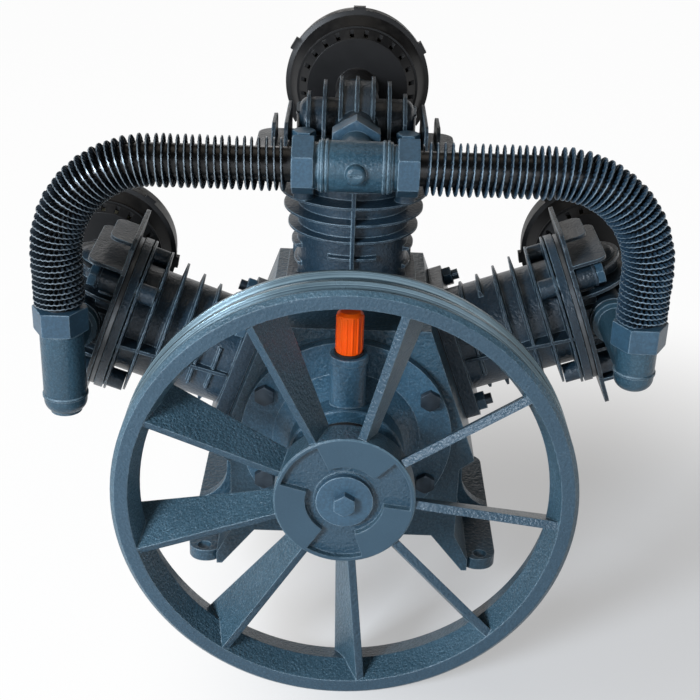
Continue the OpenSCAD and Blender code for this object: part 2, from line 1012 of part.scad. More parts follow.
module head_body(boss_r, boss_y, ring_w) {
    difference() {
        union() {
            translate([0, 0, head_a]) linear_extrude(head_plate_t) {
                circle(head_disc_r);
                rounded_square(head_r, head_ear_half, head_ear_corner);
            }
            translate([0, 0, head_a]) linear_extrude(chamber_h)
                rounded_square(chamber_half, chamber_half, chamber_corner);
            translate([0, 0, barrel_a]) rotate([0, 90, 0])
                rounded_bar(head_barrel_r, head_barrel_half, head_barrel_round);
            across_t(0, 2 * chamber_half) translate([-head_block_half, head_a])
                square([2 * head_block_half, barrel_a - head_a]);
            across_t(0, 2 * head_boss_half) arch(head_top_a - head_boss_drop, arch_half - cut);
            head_fins();
            four(head_stud) translate([0, 0, head_a])
                cylinder(r = bolt_boss_r, h = bolt_boss_a - head_a);
            front_port(delivery_a) {
                cylinder(r = delivery_boss_r, h = boss_y - (ring_w > 0 ? 0 : delivery_thread));
                cylinder(r = delivery_thread_r, h = boss_y);
            }
            if (ring_w > 0) front_port(delivery_a) translate([0, 0, boss_y - ring_w])
                cylinder(r = boss_r, h = ring_w);
            rear_port(intake_a) cylinder(r = intake_boss_r, h = intake_boss_y);
        }
        translate([0, 0, head_a - cut]) linear_extrude(chamber_in_h + cut) chamber_windows();
        four(head_stud) {
            translate([0, 0, head_a - cut])
                cylinder(r = head_bolt_r + bolt_gap, h = head_top_a);
            translate([0, 0, bolt_boss_a]) cylinder(r = head_washer_r + bolt_gap, h = head_top_a);
        }
        front_port(delivery_a) translate([0, 0, boss_y - port_depth])
            cylinder(r = delivery_bore_r, h = boss_y);
        rear_port(intake_a) translate([0, 0, intake_boss_y - port_depth])
            cylinder(r = intake_bore_r, h = intake_boss_y);
        for (s = [-1, 1]) translate([0, s * port_y, head_a])
            cylinder(r = delivery_bore_r - chamfer, h = delivery_a - head_a);
    }
}

module left_head() {
    color(paint) at_cylinder(-1) head_body(side_boss_r, side_boss_y, side_boss_ring);
}

module centre_head() {
    color(paint) at_cylinder(0) head_body(delivery_boss_r, delivery_boss_y, 0);
}

module right_head() {
    color(paint) at_cylinder(1) head_body(side_boss_r, side_boss_y, side_boss_ring);
}

module head_bolts() {
    z = bolt_boss_a + head_washer_t;
    color(nut_paint) for (k = [-1, 0, 1]) at_cylinder(k) four(head_stud)
        translate([0, 0, z]) hex_bolt(head_bolt_af, head_bolt_h, head_bolt_r, z - head_bolt_a0);
}

module head_washers() {
    color(steel) for (k = [-1, 0, 1]) at_cylinder(k) four(head_stud)
        translate([0, 0, bolt_boss_a]) ring(head_washer_r, head_bolt_r, head_washer_t);
}

// Pistons
module piston(k) {
    out_r = bore_r - piston_gap;
    translate([0, 0, wrist_a(k)]) difference() {
        union() {
            difference() {
                translate([0, 0, -skirt]) cylinder(r = out_r, h = skirt + crown);
                translate([0, 0, -skirt - cut])
                    cylinder(r = out_r - piston_wall, h = skirt + crown - crown_t + cut);
            }
            intersection() {
                cylinder(r = out_r - chamfer, h = 2 * crown, center = true);
                for (s = [-1, 1]) translate([0, s * pin_boss_in, 0]) rotate([-90 * s, 0, 0])
                    cylinder(r = pin_boss_r, h = bore_r);
            }
        }
        rotate([90, 0, 0]) cylinder(r = wrist_r, h = 2 * bore_r, center = true);
        for (i = [0 : 2]) translate([0, 0, ring_as[i]])
            ring(bore_r + cut, out_r - ring_depth, i == 2 ? oil_ring_h : ring_h);
    }
}

module left_piston() {
    color(steel) at_cylinder(-1) piston(-1);
}

module centre_piston() {
    color(steel) at_cylinder(0) piston(0);
}

module right_piston() {
    color(steel) at_cylinder(1) piston(1);
}

module piston_rings() {
    color(iron) for (k = [-1, 0, 1], i = [0 : 2]) at_cylinder(k)
        translate([0, 0, wrist_a(k) + ring_as[i] + gap_run])
            ring(bore_r - ring_gap, bore_r - piston_gap - ring_depth + ring_gap,
                (i == 2 ? oil_ring_h : ring_h) - 2 * gap_run);
}

module wrist_pins() {
    color(steel) for (k = [-1, 0, 1]) at_cylinder(k) translate([0, 0, wrist_a(k)])
        rotate([90, 0, 0]) difference() {
            cylinder(r = wrist_r, h = 2 * wrist_half, center = true);
            cylinder(r = wrist_bore_r, h = 2 * wrist_half + 2 * cut, center = true);
        }
}

// Connecting rod, drawn along +Z from the crankpin to the wrist pin
module conrod(k) {
    swing = atan2(-pin_t(k), wrist_a(k) - pin_a(k));
    translate([pin_t(k), 0, pin_a(k)]) rotate([0, swing, 0]) rotate([90, 0, 0]) difference() {
        union() {
            linear_extrude(rod_w, center = true) {
                circle(rod_big_r);
                translate([0, rod_len]) circle(rod_small_r);
                translate([-rod_cap_x - rod_cap_r, -rod_cap_half])
                    square([2 * (rod_cap_x + rod_cap_r), 2 * rod_cap_half]);
            }
            linear_extrude(rod_w - 2 * chamfer, center = true) polygon([
                [-rod_shank_big, 0],
                [rod_shank_big, 0],
                [rod_shank_small, rod_len],
                [-rod_shank_small, rod_len]
            ]);
        }
        for (s = [0, 1]) mirror([0, 0, s]) translate([0, 0, rod_web_t / 2])
            linear_extrude(rod_w) polygon([
                [rod_rim - rod_shank_big, rod_big_r + rod_rim],
                [rod_shank_big - rod_rim, rod_big_r + rod_rim],
                [rod_shank_small - rod_rim, rod_len - rod_small_r - rod_rim],
                [rod_rim - rod_shank_small, rod_len - rod_small_r - rod_rim]
            ]);
        cylinder(r = crankpin_r + gap_run, h = 2 * rod_w, center = true);
        translate([0, rod_len, 0])
            cylinder(r = wrist_r + gap_run, h = 2 * rod_w, center = true);
    }
}

module left_conrod() {
    color(steel) at_cylinder(-1) conrod(-1);
}

module centre_conrod() {
    color(steel) at_cylinder(0) conrod(0);
}

module right_conrod() {
    color(steel) at_cylinder(1) conrod(1);
}

module crankpin() {
    color(steel) translate([0, 0, crank_throw]) along_crank(-crankpin_half)
        ring(crankpin_r, crankpin_bore_r, 2 * crankpin_half);
}

// Delivery tee, nuts and elbows
module tee_body() {
    difference() {
        union() {
            rotate([0, 90, 0]) rotate_extrude() {
                for (s = [-1, 1]) scale([1, s]) polygon([
                    [0, 0],
                    [tee_r, 0],
                    for (x = tee_ring_xs) each [
                        [tee_r, x],
                        [tee_r + tee_ring_h, x],
                        [tee_r + tee_ring_h, x + tee_ring_w],
                        [tee_r, x + tee_ring_w]
                    ],
                    [tee_r, tee_half],
                    [tee_collar_r, tee_half],
                    [tee_collar_r, tee_collar_x],
                    [tee_spigot_r, tee_collar_x],
                    [tee_spigot_r, tee_spigot_x],
                    [0, tee_spigot_x]
                ]);
            }
            rotate([-90, 0, 0]) cylinder(r = tee_branch_r, h = pipe_y - delivery_boss_y);
            translate([0, pipe_y - delivery_boss_y, 0]) rotate([90, 0, 0])
                cylinder(r = tee_flange_r, h = tee_flange_t);
            rotate([90, 0, 0]) difference() {
                translate([0, 0, tee_r + tee_plug_h - tee_plug_round])
                    rounded_bar(tee_plug_r, tee_plug_round + cut, tee_plug_round);
                translate([-slot_l / 2, -slot_w / 2, tee_r + tee_plug_h + cut - slot_d])
                    cube([slot_l, slot_w, tee_r]);
            }
        }
        rotate([0, 90, 0]) cylinder(r = tee_bore_r, h = 4 * tee_half, center = true);
        rotate([-90, 0, 0]) cylinder(r = tee_bore_r, h = pipe_y);
    }
}

module delivery_tee() {
    color(paint) translate([0, -pipe_y, tee_z()]) tee_body();
}

// Nut with its mouth at z = 0: a wide seat for the thread and a close hole for the pipe
module seat_nut(af, h, seat_r, seat, hole_r) {
    difference() {
        hexagon(af, h);
        translate([0, 0, -cut]) cylinder(r = seat_r, h = seat + cut);
        cylinder(r = hole_r, h = h + cut);
    }
}

module port_nut() {
    color(nut_paint) translate([0, union_h - union_y0, tee_z()]) rotate([90, 0, 0])
        rotate([0, 0, 30])
            seat_nut(union_af, union_h, delivery_thread_r, union_seat, tee_branch_r);
}

module upper_tube_nuts() {
    color(nut_paint) for (s = [0, 1]) mirror([s, 0, 0])
        translate([nut_x0, -pipe_y, tee_z()]) rotate([0, 90, 0])
            seat_nut(pipe_nut_af + chamfer, nut_w, tee_spigot_r, nut_seat, pipe_d / 2);
}

module lower_tube_nuts() {
    color(nut_paint) {
        translate([-pipe_x(), -pipe_y, left_nut_z])
            seat_nut(pipe_nut_af, lower_nut_h, elbow_spigot_r, elbow_spigot_h + pipe_end, pipe_d / 2);
        translate([pipe_x(), -pipe_y, right_nut_z])
            seat_nut(pipe_nut_af, lower_nut_h, elbow_spigot_r, elbow_spigot_h + pipe_end, pipe_d / 2);
    }
}

// Straight finned run along +Z: plain for `plain`, then fins up to `len`
module finned_run(len, plain) {
    count = floor((len - plain - fin_start) / pipe_fin_pitch);
    core_r = pipe_d / 2;
    rotate_extrude() polygon([
        [pipe_bore_r, 0],
        [core_r, 0],
        for (i = [0 : count - 1]) each [
            [core_r, plain + fin_start + i * pipe_fin_pitch],
            [pipe_fin_d / 2, plain + fin_start + i * pipe_fin_pitch],
            [pipe_fin_d / 2, plain + fin_start + i * pipe_fin_pitch + pipe_fin_t],
            [core_r, plain + fin_start + i * pipe_fin_pitch + pipe_fin_t]
        ],
        [core_r, len],
        [pipe_bore_r, len]
    ]);
}

module finned_bend() {
    arc_len = bend_r * PI / 2;
    count = floor(arc_len / pipe_fin_pitch);
    step = 90 / count;
    fin_angle = pipe_fin_t / bend_r * 180 / PI;
    rotate_extrude(angle = 90) translate([bend_r, 0]) difference() {
        circle(d = pipe_d);
        circle(pipe_bore_r);
    }
    for (i = [0 : count - 1]) rotate([0, 0, (i + 1 / 2) * step - fin_angle / 2])
        rotate_extrude(angle = fin_angle) translate([bend_r, 0]) difference() {
            circle(d = pipe_fin_d);
            circle(d = pipe_d - chamfer);
        }
}

module finned_tube(low_z) {
    x0 = tee_spigot_x;
    x1 = pipe_x() - bend_r;
    z1 = tee_z() - bend_r;
    z0 = low_z + elbow_spigot_h;
    translate([x1, -pipe_y, tee_z()]) rotate([0, 90, 0]) translate([0, 0, x0 - x1])
        finned_run(x1 - x0, nut_x0 + nut_w - x0);
    translate([x1, -pipe_y, z1]) rotate([90, 0, 0]) finned_bend();
    translate([pipe_x(), -pipe_y, z0]) finned_run(z1 - z0, lower_nut_h - elbow_spigot_h);
    translate([pipe_x(), -pipe_y, z0]) ring(elbow_spigot_r, pipe_bore_r, pipe_end);
}

module left_tube() {
    color("#22282d") mirror([1, 0, 0]) finned_tube(left_nut_z);
}

module right_tube() {
    color("#2a3a49") finned_tube(right_nut_z);
}

module elbow(r, low_z, nut_z, port) {
    z_port = port_z() - low_z;
    z_top = nut_z - low_z;
    difference() {
        union() {
            rotate_extrude() intersection() {
                square([r + elbow_ring_t, z_top]);
                union() {
                    translate([0, elbow_round]) square([r, z_top - elbow_round]);
                    square([r - elbow_round, elbow_round]);
                    translate([r - elbow_round, elbow_round]) circle(elbow_round);
                    translate([0, elbow_ring_z]) square([r + elbow_ring_t, elbow_ring_h]);
                    translate([0, z_top - elbow_lip_h])
                        square([r + elbow_ring_t, elbow_lip_h]);
                }
            }
            translate([0, 0, z_top - cut]) cylinder(r = elbow_spigot_r, h = elbow_spigot_h + cut);
            translate([0, 0, z_port]) rotate([-90, 0, 0]) cylinder(r = elbow_branch_r, h = port);
            translate([0, port, z_port]) rotate([90, 0, 0])
                cylinder(r = elbow_collar_r, h = elbow_collar_w);
        }
        translate([0, 0, r]) cylinder(r = pipe_bore_r, h = z_top + elbow_spigot_h);
        translate([0, 0, z_port]) rotate([-90, 0, 0])
            cylinder(r = pipe_bore_r - chamfer, h = port + cut);
    }
}

// The longer left elbow has the delivery line's threaded mouth in its underside
module left_elbow() {
    color(paint) translate([-pipe_x(), -pipe_y, left_elbow_z]) difference() {
        union() {
            elbow(left_elbow_r, left_elbow_z, left_nut_z, pipe_y - stagger - side_boss_y);
            cylinder(r = outlet_boss_r, h = elbow_round);
        }
        translate([0, 0, -cut]) cylinder(r = outlet_r, h = outlet_depth + cut);
        cylinder(r = outlet_throat_r, h = left_elbow_r + cut);
    }
}

module right_elbow() {
    color(paint) translate([pipe_x(), -pipe_y, right_elbow_z])
        elbow(right_elbow_r, right_elbow_z, right_nut_z, pipe_y + stagger - side_boss_y);
}

// Filters
module at_filter(k) {
    at_cylinder(k) rear_port(intake_a) rotate([0, 0, k * lean]) children();
}

module filter_base() {
    difference() {
        rotate_extrude() polygon([
            [neck_bore_r, intake_boss_y - neck_spigot],
            [neck_spigot_r, intake_boss_y - neck_spigot],
            [neck_spigot_r, intake_boss_y],
            [neck_r, intake_boss_y],
            [neck_r, filter_disc_y - chamfer],
            [neck_r + chamfer, filter_disc_y],
            [filter_disc_r, filter_disc_y],
            [filter_slot_r, filter_slot_y],
            [filter_slot_r - filter_wall, filter_slot_y],
            [filter_disc_r - filter_wall, filter_disc_y + filter_wall],
            [neck_bore_r, filter_disc_y + filter_wall]
        ]);
        for (i = [0 : slot_count - 1]) rotate([0, 0, (i + 1 / 2) * 360 / slot_count])
            translate([filter_disc_r - 2 * filter_wall, -slot_t / 2, filter_disc_y + chamfer])
                cube([filter_slot_r, slot_t, filter_slot_y - filter_disc_y - 2 * chamfer]);
    }
}

module left_filter_base() {
    color(black_plastic) at_filter(-1) filter_base();
}

module centre_filter_base() {
    color(black_plastic) at_filter(0) filter_base();
}

module right_filter_base() {
    color(black_plastic) at_filter(1) filter_base();
}

module filter_elements() {
    y0 = filter_disc_y + filter_wall;
    y1 = filter_back_y - filter_wall;
    color("#d8cfb4") for (k = [-1, 0, 1]) at_filter(k) translate([0, 0, y0])
        ring(element_out_r, element_in_r, y1 - y0);
}

module filter_cover() {
    in_r = filter_body_r - filter_wall;
    round_y = filter_back_y - filter_back_round;
    difference() {
        union() {
            rotate_extrude() {
                polygon([
                    [0, filter_slot_y],
                    [filter_ring_r, filter_slot_y],
                    [filter_ring_r, filter_slot_y + filter_ring_w],
                    [filter_ring_r - chamfer, filter_slot_y + filter_ring_w + chamfer],
                    [filter_cone_r, filter_cone_y],
                    [filter_r, filter_lip_y],
                    [filter_r, filter_lip_y + filter_lip_w],
                    [filter_body_r, filter_lip_y + filter_lip_w],
                    [filter_body_r, round_y],
                    [0, round_y]
                ]);
                square([filter_body_r - filter_back_round, filter_back_y]);
                translate([filter_body_r - filter_back_round, round_y])
                    circle(filter_back_round);
            }
            for (i = [0 : filter_lugs - 1]) rotate([0, 0, 30 + i * 360 / filter_lugs])
                translate([filter_cone_r, -lug_w / 2, filter_lip_y])
                    cube([filter_r + lug_out - filter_cone_r, lug_w, filter_lip_w]);
        }
        rotate_extrude() polygon([
            [0, -cut],
            [filter_slot_r - filter_wall, -cut],
            [filter_slot_r - filter_wall, filter_slot_y + filter_wall],
            [in_r - filter_wall, filter_cone_y],
            [in_r, filter_lip_y],
            [in_r, round_y],
            [in_r - filter_back_round, filter_back_y - filter_wall],
            [0, filter_back_y - filter_wall]
        ]);
    }
}

module left_filter_cover() {
    color(black_plastic) at_filter(-1) filter_cover();
}

module centre_filter_cover() {
    color(black_plastic) at_filter(0) filter_cover();
}

module right_filter_cover() {
    color(black_plastic) at_filter(1) filter_cover();
}

// Crankshaft
module key_slot(grow) {
    translate([-key_w / 2 - grow, key_y0, crank_h + nose_r - key_sink])
        cube([key_w + 2 * grow, key_len, key_h]);
}

module crankshaft() {
    color(steel) difference() {
        union() {
            along_crank(0) rotate_extrude() polygon([
                [0, nose_y],
                [nose_r - chamfer, nose_y],
                [nose_r, nose_y + chamfer],
                [nose_r, journal_y0],
                [journal_r, journal_y0 + chamfer],
                [journal_r, shaft_step_y],
                [shaft_step_r, shaft_step_y + chamfer],
                [shaft_step_r, web_y0 + chamfer],
                [0, web_y0 + chamfer]
            ]);
            crank_profile(web_y0, web_y1) {
                translate([0, crank_throw]) circle(web_r);
                circle(web_r);
                translate([-web_r, 0]) square([2 * web_r, crank_throw]);
                intersection() {
                    circle(weight_r);
                    sector(weight_r, weight_half_angle, -90);
                }
            }
        }
        key_slot(0);
        along_crank(nose_y - cut) cylinder(r = bolt_shank_r, h = bolt_len);
    }
}

module crank_key() {
    color(steel) key_slot(0);
}

module flywheel_washer() {
    color(nut_paint) along_crank(hub_face - wheel_front) ring(washer_r, bolt_hole_r, washer_t);
}

module flywheel_bolt() {
    color(nut_paint) along_crank(hub_face - wheel_front) rotate([0, 0, 90]) mirror([0, 0, 1])
        hex_bolt(hub_bolt_af, hub_bolt_h, bolt_shank_r, bolt_len);
}

// Flywheel, with z = 0 on the rim's front face
function groove_points(z) = [
    [wheel_r, z - groove_w / 2],
    [wheel_r - groove_depth, z - groove_w / 2 + groove_depth * tan(groove_side_angle)],
    [wheel_r - groove_depth, z + groove_w / 2 - groove_depth * tan(groove_side_angle)],
    [wheel_r, z + groove_w / 2]
];

module rim_profile() {
    pitch = groove_w + groove_land;
    edge_r = wheel_r - rim_edge_t;
    polygon([
        [edge_r, 0],
        [wheel_r - rim_bevel, 0],
        [wheel_r, rim_bevel],
        for (i = [0 : groove_count - 1])
            each groove_points(wheel_w / 2 + (i - (groove_count - 1) / 2) * pitch),
        [wheel_r, wheel_w - rim_back_bevel],
        [wheel_r - rim_back_bevel, wheel_w],
        [edge_r, wheel_w],
        [wheel_r - rim_mid_t, wheel_w / 2]
    ]);
}

module blade() {
    mid = wheel_w / 2;
    tilt = blade_t / 2 * sin(blade_angle) + blade_margin;
    chord = (mid - tilt) / cos(blade_angle);
    front = (mid - blade_hub_front - tilt) / cos(blade_angle);
    back = (blade_hub_back - mid - tilt) / cos(blade_angle);
    in_r = hub_r - blade_sink;
    out_r = wheel_r - rim_edge_t + blade_sink / 4;
    translate([0, 0, mid]) rotate([90 - blade_angle, 0, 0])
        linear_extrude(blade_t, center = true)
            polygon([[in_r, -front], [out_r, -chord], [out_r, chord], [in_r, back]]);
}

module hub_recess() {
    difference() {
        union() {
            circle(pocket_in_r);
            for (d = pocket_dirs) intersection() {
                circle(pocket_out_r);
                sector(pocket_out_r, pocket_span / 2, -d);
            }
        }
        circle(boss_seat_r);
    }
}

module flywheel() {
    color(paint) along_crank(-wheel_front) difference() {
        union() {
            rotate_extrude() rim_profile();
            rotate_extrude() polygon([
                [0, hub_face],
                [hub_r - chamfer, hub_face],
                [hub_r, hub_face + chamfer],
                [hub_r, hub_disc_back - hub_edge_r],
                [hub_r - hub_edge_r, hub_disc_back],
                [hub_boss_r + hub_edge_r, hub_disc_back],
                [hub_boss_r, hub_disc_back + hub_edge_r],
                [hub_boss_r, hub_back - chamfer],
                [hub_boss_r - chamfer, hub_back],
                [0, hub_back]
            ]);
            for (i = [0 : blade_count - 1])
                rotate([0, 0, -blade_start - i * 360 / blade_count]) blade();
        }
        translate([0, 0, hub_face - cut]) linear_extrude(pocket_depth + cut) hub_recess();
        translate([0, 0, hub_face - cut]) cylinder(r = boss_seat_r + chamfer / 2, h = washer_t + cut);
        cylinder(r = nose_r, h = hub_back + cut);
        translate([0, 0, -nose_r]) cylinder(r = bolt_hole_r, h = hub_back);
        translate([-key_w / 2, key_sink - nose_r - key_h, hub_face])
            cube([key_w, key_h, hub_back]);
    }
}

// Oil filler plug
module plug_ring() {
    color(rubber) translate([0, filler_y, filler_top_z])
        ring(ring_r, filler_bore_r - gap_run, ring_t);
}

module filler_plug() {
    grip_r = plug_d / 2 - plug_rib_r / 2;
    z = filler_top_z + ring_t;
    color(orange) translate([0, filler_y, z]) {
        rotate_extrude() {
            polygon([
                [0, -plug_stem],
                [filler_bore_r - gap_run - chamfer, -plug_stem],
                [filler_bore_r - gap_run, chamfer - plug_stem],
                [filler_bore_r - gap_run, 0],
                [grip_r, 0],
                [grip_r, plug_h - plug_top_r],
                [grip_r - plug_top_r, plug_h],
                [0, plug_h]
            ]);
        }
        for (i = [0 : plug_ribs - 1]) rotate([0, 0, i * 360 / plug_ribs])
            translate([grip_r - plug_rib_r / 2, 0, chamfer])
                cylinder(r = plug_rib_r, h = plug_h - plug_top_r - 2 * chamfer);
    }
}

crankcase();
front_cover();
rear_cover();
cover_gaskets();
cover_bolts();
oil_seal();
bearing_outer_rings();
sight_glass();
sight_glass_ring();
drain_plug();
left_cylinder();
centre_cylinder();
right_cylinder();
base_gaskets();
base_studs();
base_nuts();
left_valve_plate();
centre_valve_plate();
right_valve_plate();
head_gaskets();
reed_valves();
left_head();
centre_head();
right_head();
head_bolts();
head_washers();
left_piston();
centre_piston();
right_piston();
piston_rings();
wrist_pins();
left_conrod();
centre_conrod();
right_conrod();
crankpin();
delivery_tee();
port_nut();
upper_tube_nuts();
lower_tube_nuts();
left_tube();
right_tube();
left_elbow();
right_elbow();
left_filter_base();
centre_filter_base();
right_filter_base();
filter_elements();
left_filter_cover();
centre_filter_cover();
right_filter_cover();
crankshaft();
crank_key();
flywheel();
flywheel_washer();
flywheel_bolt();
bearing_inner_rings();
bearing_balls();
bearing_cages();
filler_plug();
plug_ring();
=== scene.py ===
import json
import math

import bpy
import numpy as np
from mathutils import Matrix, Vector


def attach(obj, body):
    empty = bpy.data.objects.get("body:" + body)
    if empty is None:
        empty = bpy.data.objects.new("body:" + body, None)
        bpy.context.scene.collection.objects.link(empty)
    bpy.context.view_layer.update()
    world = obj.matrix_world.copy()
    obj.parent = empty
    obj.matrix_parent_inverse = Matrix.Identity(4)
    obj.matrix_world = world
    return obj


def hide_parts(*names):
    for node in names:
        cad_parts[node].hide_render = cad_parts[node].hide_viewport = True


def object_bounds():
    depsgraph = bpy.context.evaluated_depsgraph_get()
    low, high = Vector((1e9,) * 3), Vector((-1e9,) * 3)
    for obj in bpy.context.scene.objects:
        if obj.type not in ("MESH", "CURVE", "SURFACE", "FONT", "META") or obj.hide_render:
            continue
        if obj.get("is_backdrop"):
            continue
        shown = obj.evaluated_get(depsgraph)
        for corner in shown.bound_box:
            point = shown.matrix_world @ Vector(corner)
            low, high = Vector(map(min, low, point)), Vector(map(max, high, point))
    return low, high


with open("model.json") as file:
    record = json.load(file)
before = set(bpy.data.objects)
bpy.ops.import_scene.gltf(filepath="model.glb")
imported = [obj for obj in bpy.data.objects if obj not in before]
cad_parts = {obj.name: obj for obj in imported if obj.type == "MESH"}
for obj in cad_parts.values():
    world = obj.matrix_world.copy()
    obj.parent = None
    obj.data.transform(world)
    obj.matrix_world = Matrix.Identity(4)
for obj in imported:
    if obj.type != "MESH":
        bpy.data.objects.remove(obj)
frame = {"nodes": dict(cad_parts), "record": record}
nodes = frame["nodes"]
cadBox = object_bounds()
sceneNow = bpy.context.scene
sceneNow.view_settings.view_transform = "Standard"

# places that several finishes and pieces ask for, in metres
crankHeight = 0.114
pipeBack = -0.105
teeHeight = 0.317

# a CAD mesh's loose points closer than this are one, and edges sharper than this stay sharp
weldReach = 0.00001
creaseAngle = 28  # degrees


# shader maths
class Signal:
    # one output of a finish's node tree; + - * between signals and numbers add Math nodes
    def __init__(self, finish, socket):
        self.finish = finish
        self.socket = socket

    def reckon(self, operation, first, second):
        return self.finish.add("ShaderNodeMath", {"operation": operation}, {0: first, 1: second})

    def __add__(self, other):
        return self.reckon("ADD", self, other)

    def __sub__(self, other):
        return self.reckon("SUBTRACT", self, other)

    def __rsub__(self, other):
        return self.reckon("SUBTRACT", other, self)

    def __mul__(self, other):
        return self.reckon("MULTIPLY", self, other)

    def __pow__(self, other):
        return self.reckon("POWER", self, other)

    __radd__ = __add__
    __rmul__ = __mul__

    def between(self, low, high):
        # 0 below low, 1 above high, smooth from one to the other
        return self.finish.add(
            "ShaderNodeMapRange",
            {"interpolation_type": "SMOOTHSTEP"},
            {"Value": self, "From Min": low, "From Max": high},
        )


class Finish:
    # one material; add() is the only way a node gets into it
    edgeTurn = (0.03, 0.22)  # a rounded edge starts and is full where the normal turns this far
    edgeSamples = 4

    def __init__(self, name, owner=None):
        self.material = owner or bpy.data.materials.new(name)
        self.material.use_nodes = True
        self.tree = self.material.node_tree
        self.tree.nodes.clear()
        self.place = self.add("ShaderNodeTexCoord", out="Object")

    def add(self, kind, settings=None, inputs=None, out=0):
        made = self.tree.nodes.new(kind)
        for key, value in (settings or {}).items():
            setattr(made, key, value)
        for key, value in (inputs or {}).items():
            if isinstance(value, Signal):
                self.tree.links.new(value.socket, made.inputs[key])
            else:
                made.inputs[key].default_value = value
        return Signal(self, made.outputs[out]) if made.outputs else None

    def noise(self, size, detail=2.0, roughness=0.5, place=None):
        # size is the width of one blotch in metres
        inputs = {
            "Vector": place or self.place,
            "Scale": 1 / size,
            "Detail": detail,
            "Roughness": roughness,
        }
        return self.add("ShaderNodeTexNoise", None, inputs)

    def cells(self, size):
        # rounded cells, size is the width of one in metres
        inputs = {"Vector": self.place, "Scale": 1 / size}
        return self.add("ShaderNodeTexVoronoi", {"feature": "SMOOTH_F1"}, inputs, "Distance")

    def mix(self, factor, first, second):
        inputs = {0: factor, 6: first, 7: second}
        return self.add("ShaderNodeMix", {"data_type": "RGBA"}, inputs, 2)

    def apart(self, vector):
        # the three numbers of a vector
        return [self.add("ShaderNodeSeparateXYZ", None, {0: vector}, axis) for axis in "XYZ"]

    def facing(self, normal="Normal"):
        # the three numbers of the surface's direction
        return self.apart(self.add("ShaderNodeNewGeometry", out=normal))

    def bump(self, height, depth, normal=None):
        # depth is the real height of the relief in metres
        inputs = {"Height": height, "Distance": depth, "Strength": 1.0}
        if normal is not None:
            inputs["Normal"] = normal
        return self.add("ShaderNodeBump", None, inputs)

    def rounded(self, radius):
        # normals turned as if every edge had that radius, and how far they turned
        soft = self.add("ShaderNodeBevel", {"samples": self.edgeSamples}, {"Radius": radius})
        hard = self.add("ShaderNodeNewGeometry", out="Normal")
        same = self.add(
            "ShaderNodeVectorMath", {"operation": "DOT_PRODUCT"}, {0: soft, 1: hard}, "Value"
        )
        return soft, (1 - same).between(*self.edgeTurn)

    def close(self, inputs):
        return self.closeWith(self.add("ShaderNodeBsdfPrincipled", None, inputs))

    def closeWith(self, shader):
        self.add("ShaderNodeOutputMaterial", None, {"Surface": shader})
        return self.material


def tone(red, green, blue):
    # a colour as seen on a screen, 0 to 255, turned to the linear values that shaders use
    seen = np.array([red, green, blue]) / 255
    line = np.where(seen <= 0.04045, seen / 12.92, ((seen + 0.055) / 1.055) ** 2.4)
    return (*line.tolist(), 1.0)


def rowsToLooks(fields, rows):
    return {name: dict(zip(fields, row)) for name, row in rows.items()}


# camera
cameraLook = {
    "place": (-0.0034, -0.8909, 0.5631),
    "down": 25.37,  # degrees below level
    "turn": 0.29,  # degrees to the right of +Y
    "roll": 2.01,
    "lens": 67.27,
    "sensor": 36.0,
    "nearest": 0.01,
}


def setCamera(look):
    down, turn, roll = (math.radians(look[key]) for key in ("down", "turn", "roll"))
    ahead = Vector(
        (math.sin(turn) * math.cos(down), math.cos(turn) * math.cos(down), -math.sin(down))
    )
    right = Vector((math.cos(turn), -math.sin(turn), 0))
    up = right.cross(ahead)
    leanRight = math.cos(roll) * right + math.sin(roll) * up
    leanUp = math.cos(roll) * up - math.sin(roll) * right
    data = bpy.data.cameras.new("photoCamera")
    data.lens = look["lens"]
    data.sensor_width = look["sensor"]
    data.clip_start = look["nearest"]
    made = bpy.data.objects.new("photoCamera", data)
    sceneNow.collection.objects.link(made)
    turned = Matrix((leanRight, leanUp, -ahead)).transposed()
    made.matrix_world = Matrix.Translation(look["place"]) @ turned.to_4x4()
    sceneNow.camera = made


setCamera(cameraLook)

# floor
floorLook = {
    "height": -0.036,  # the wheel's lowest point
    "half width": 7.0,
    "tone": (246, 246, 246),
    "shade tone": (206, 206, 207),
    "seen tone": (255, 255, 255),
    "seen share": 0.97,  # how much of what the camera sees is the plain seen tone
    "shade share": 0.4,  # the same inside the painted soft shade beside the pump
    "shade middle": (0.18, -0.02),
    "shade reach": (0.12, 0.56),  # how far from its middle it starts and stops to fade
    "shade left": (-0.16, 0.04),  # x where there is none of it yet, and where all of it
}


def showsBackdrop(finish):
    # 1 for rays from the camera, off glossy surfaces or through glass
    path = finish.add("ShaderNodeLightPath", out="Is Camera Ray")
    for ray in ("Is Glossy Ray", "Is Transmission Ray"):
        path = path.reckon("MAXIMUM", path, finish.add("ShaderNodeLightPath", out=ray))
    return path


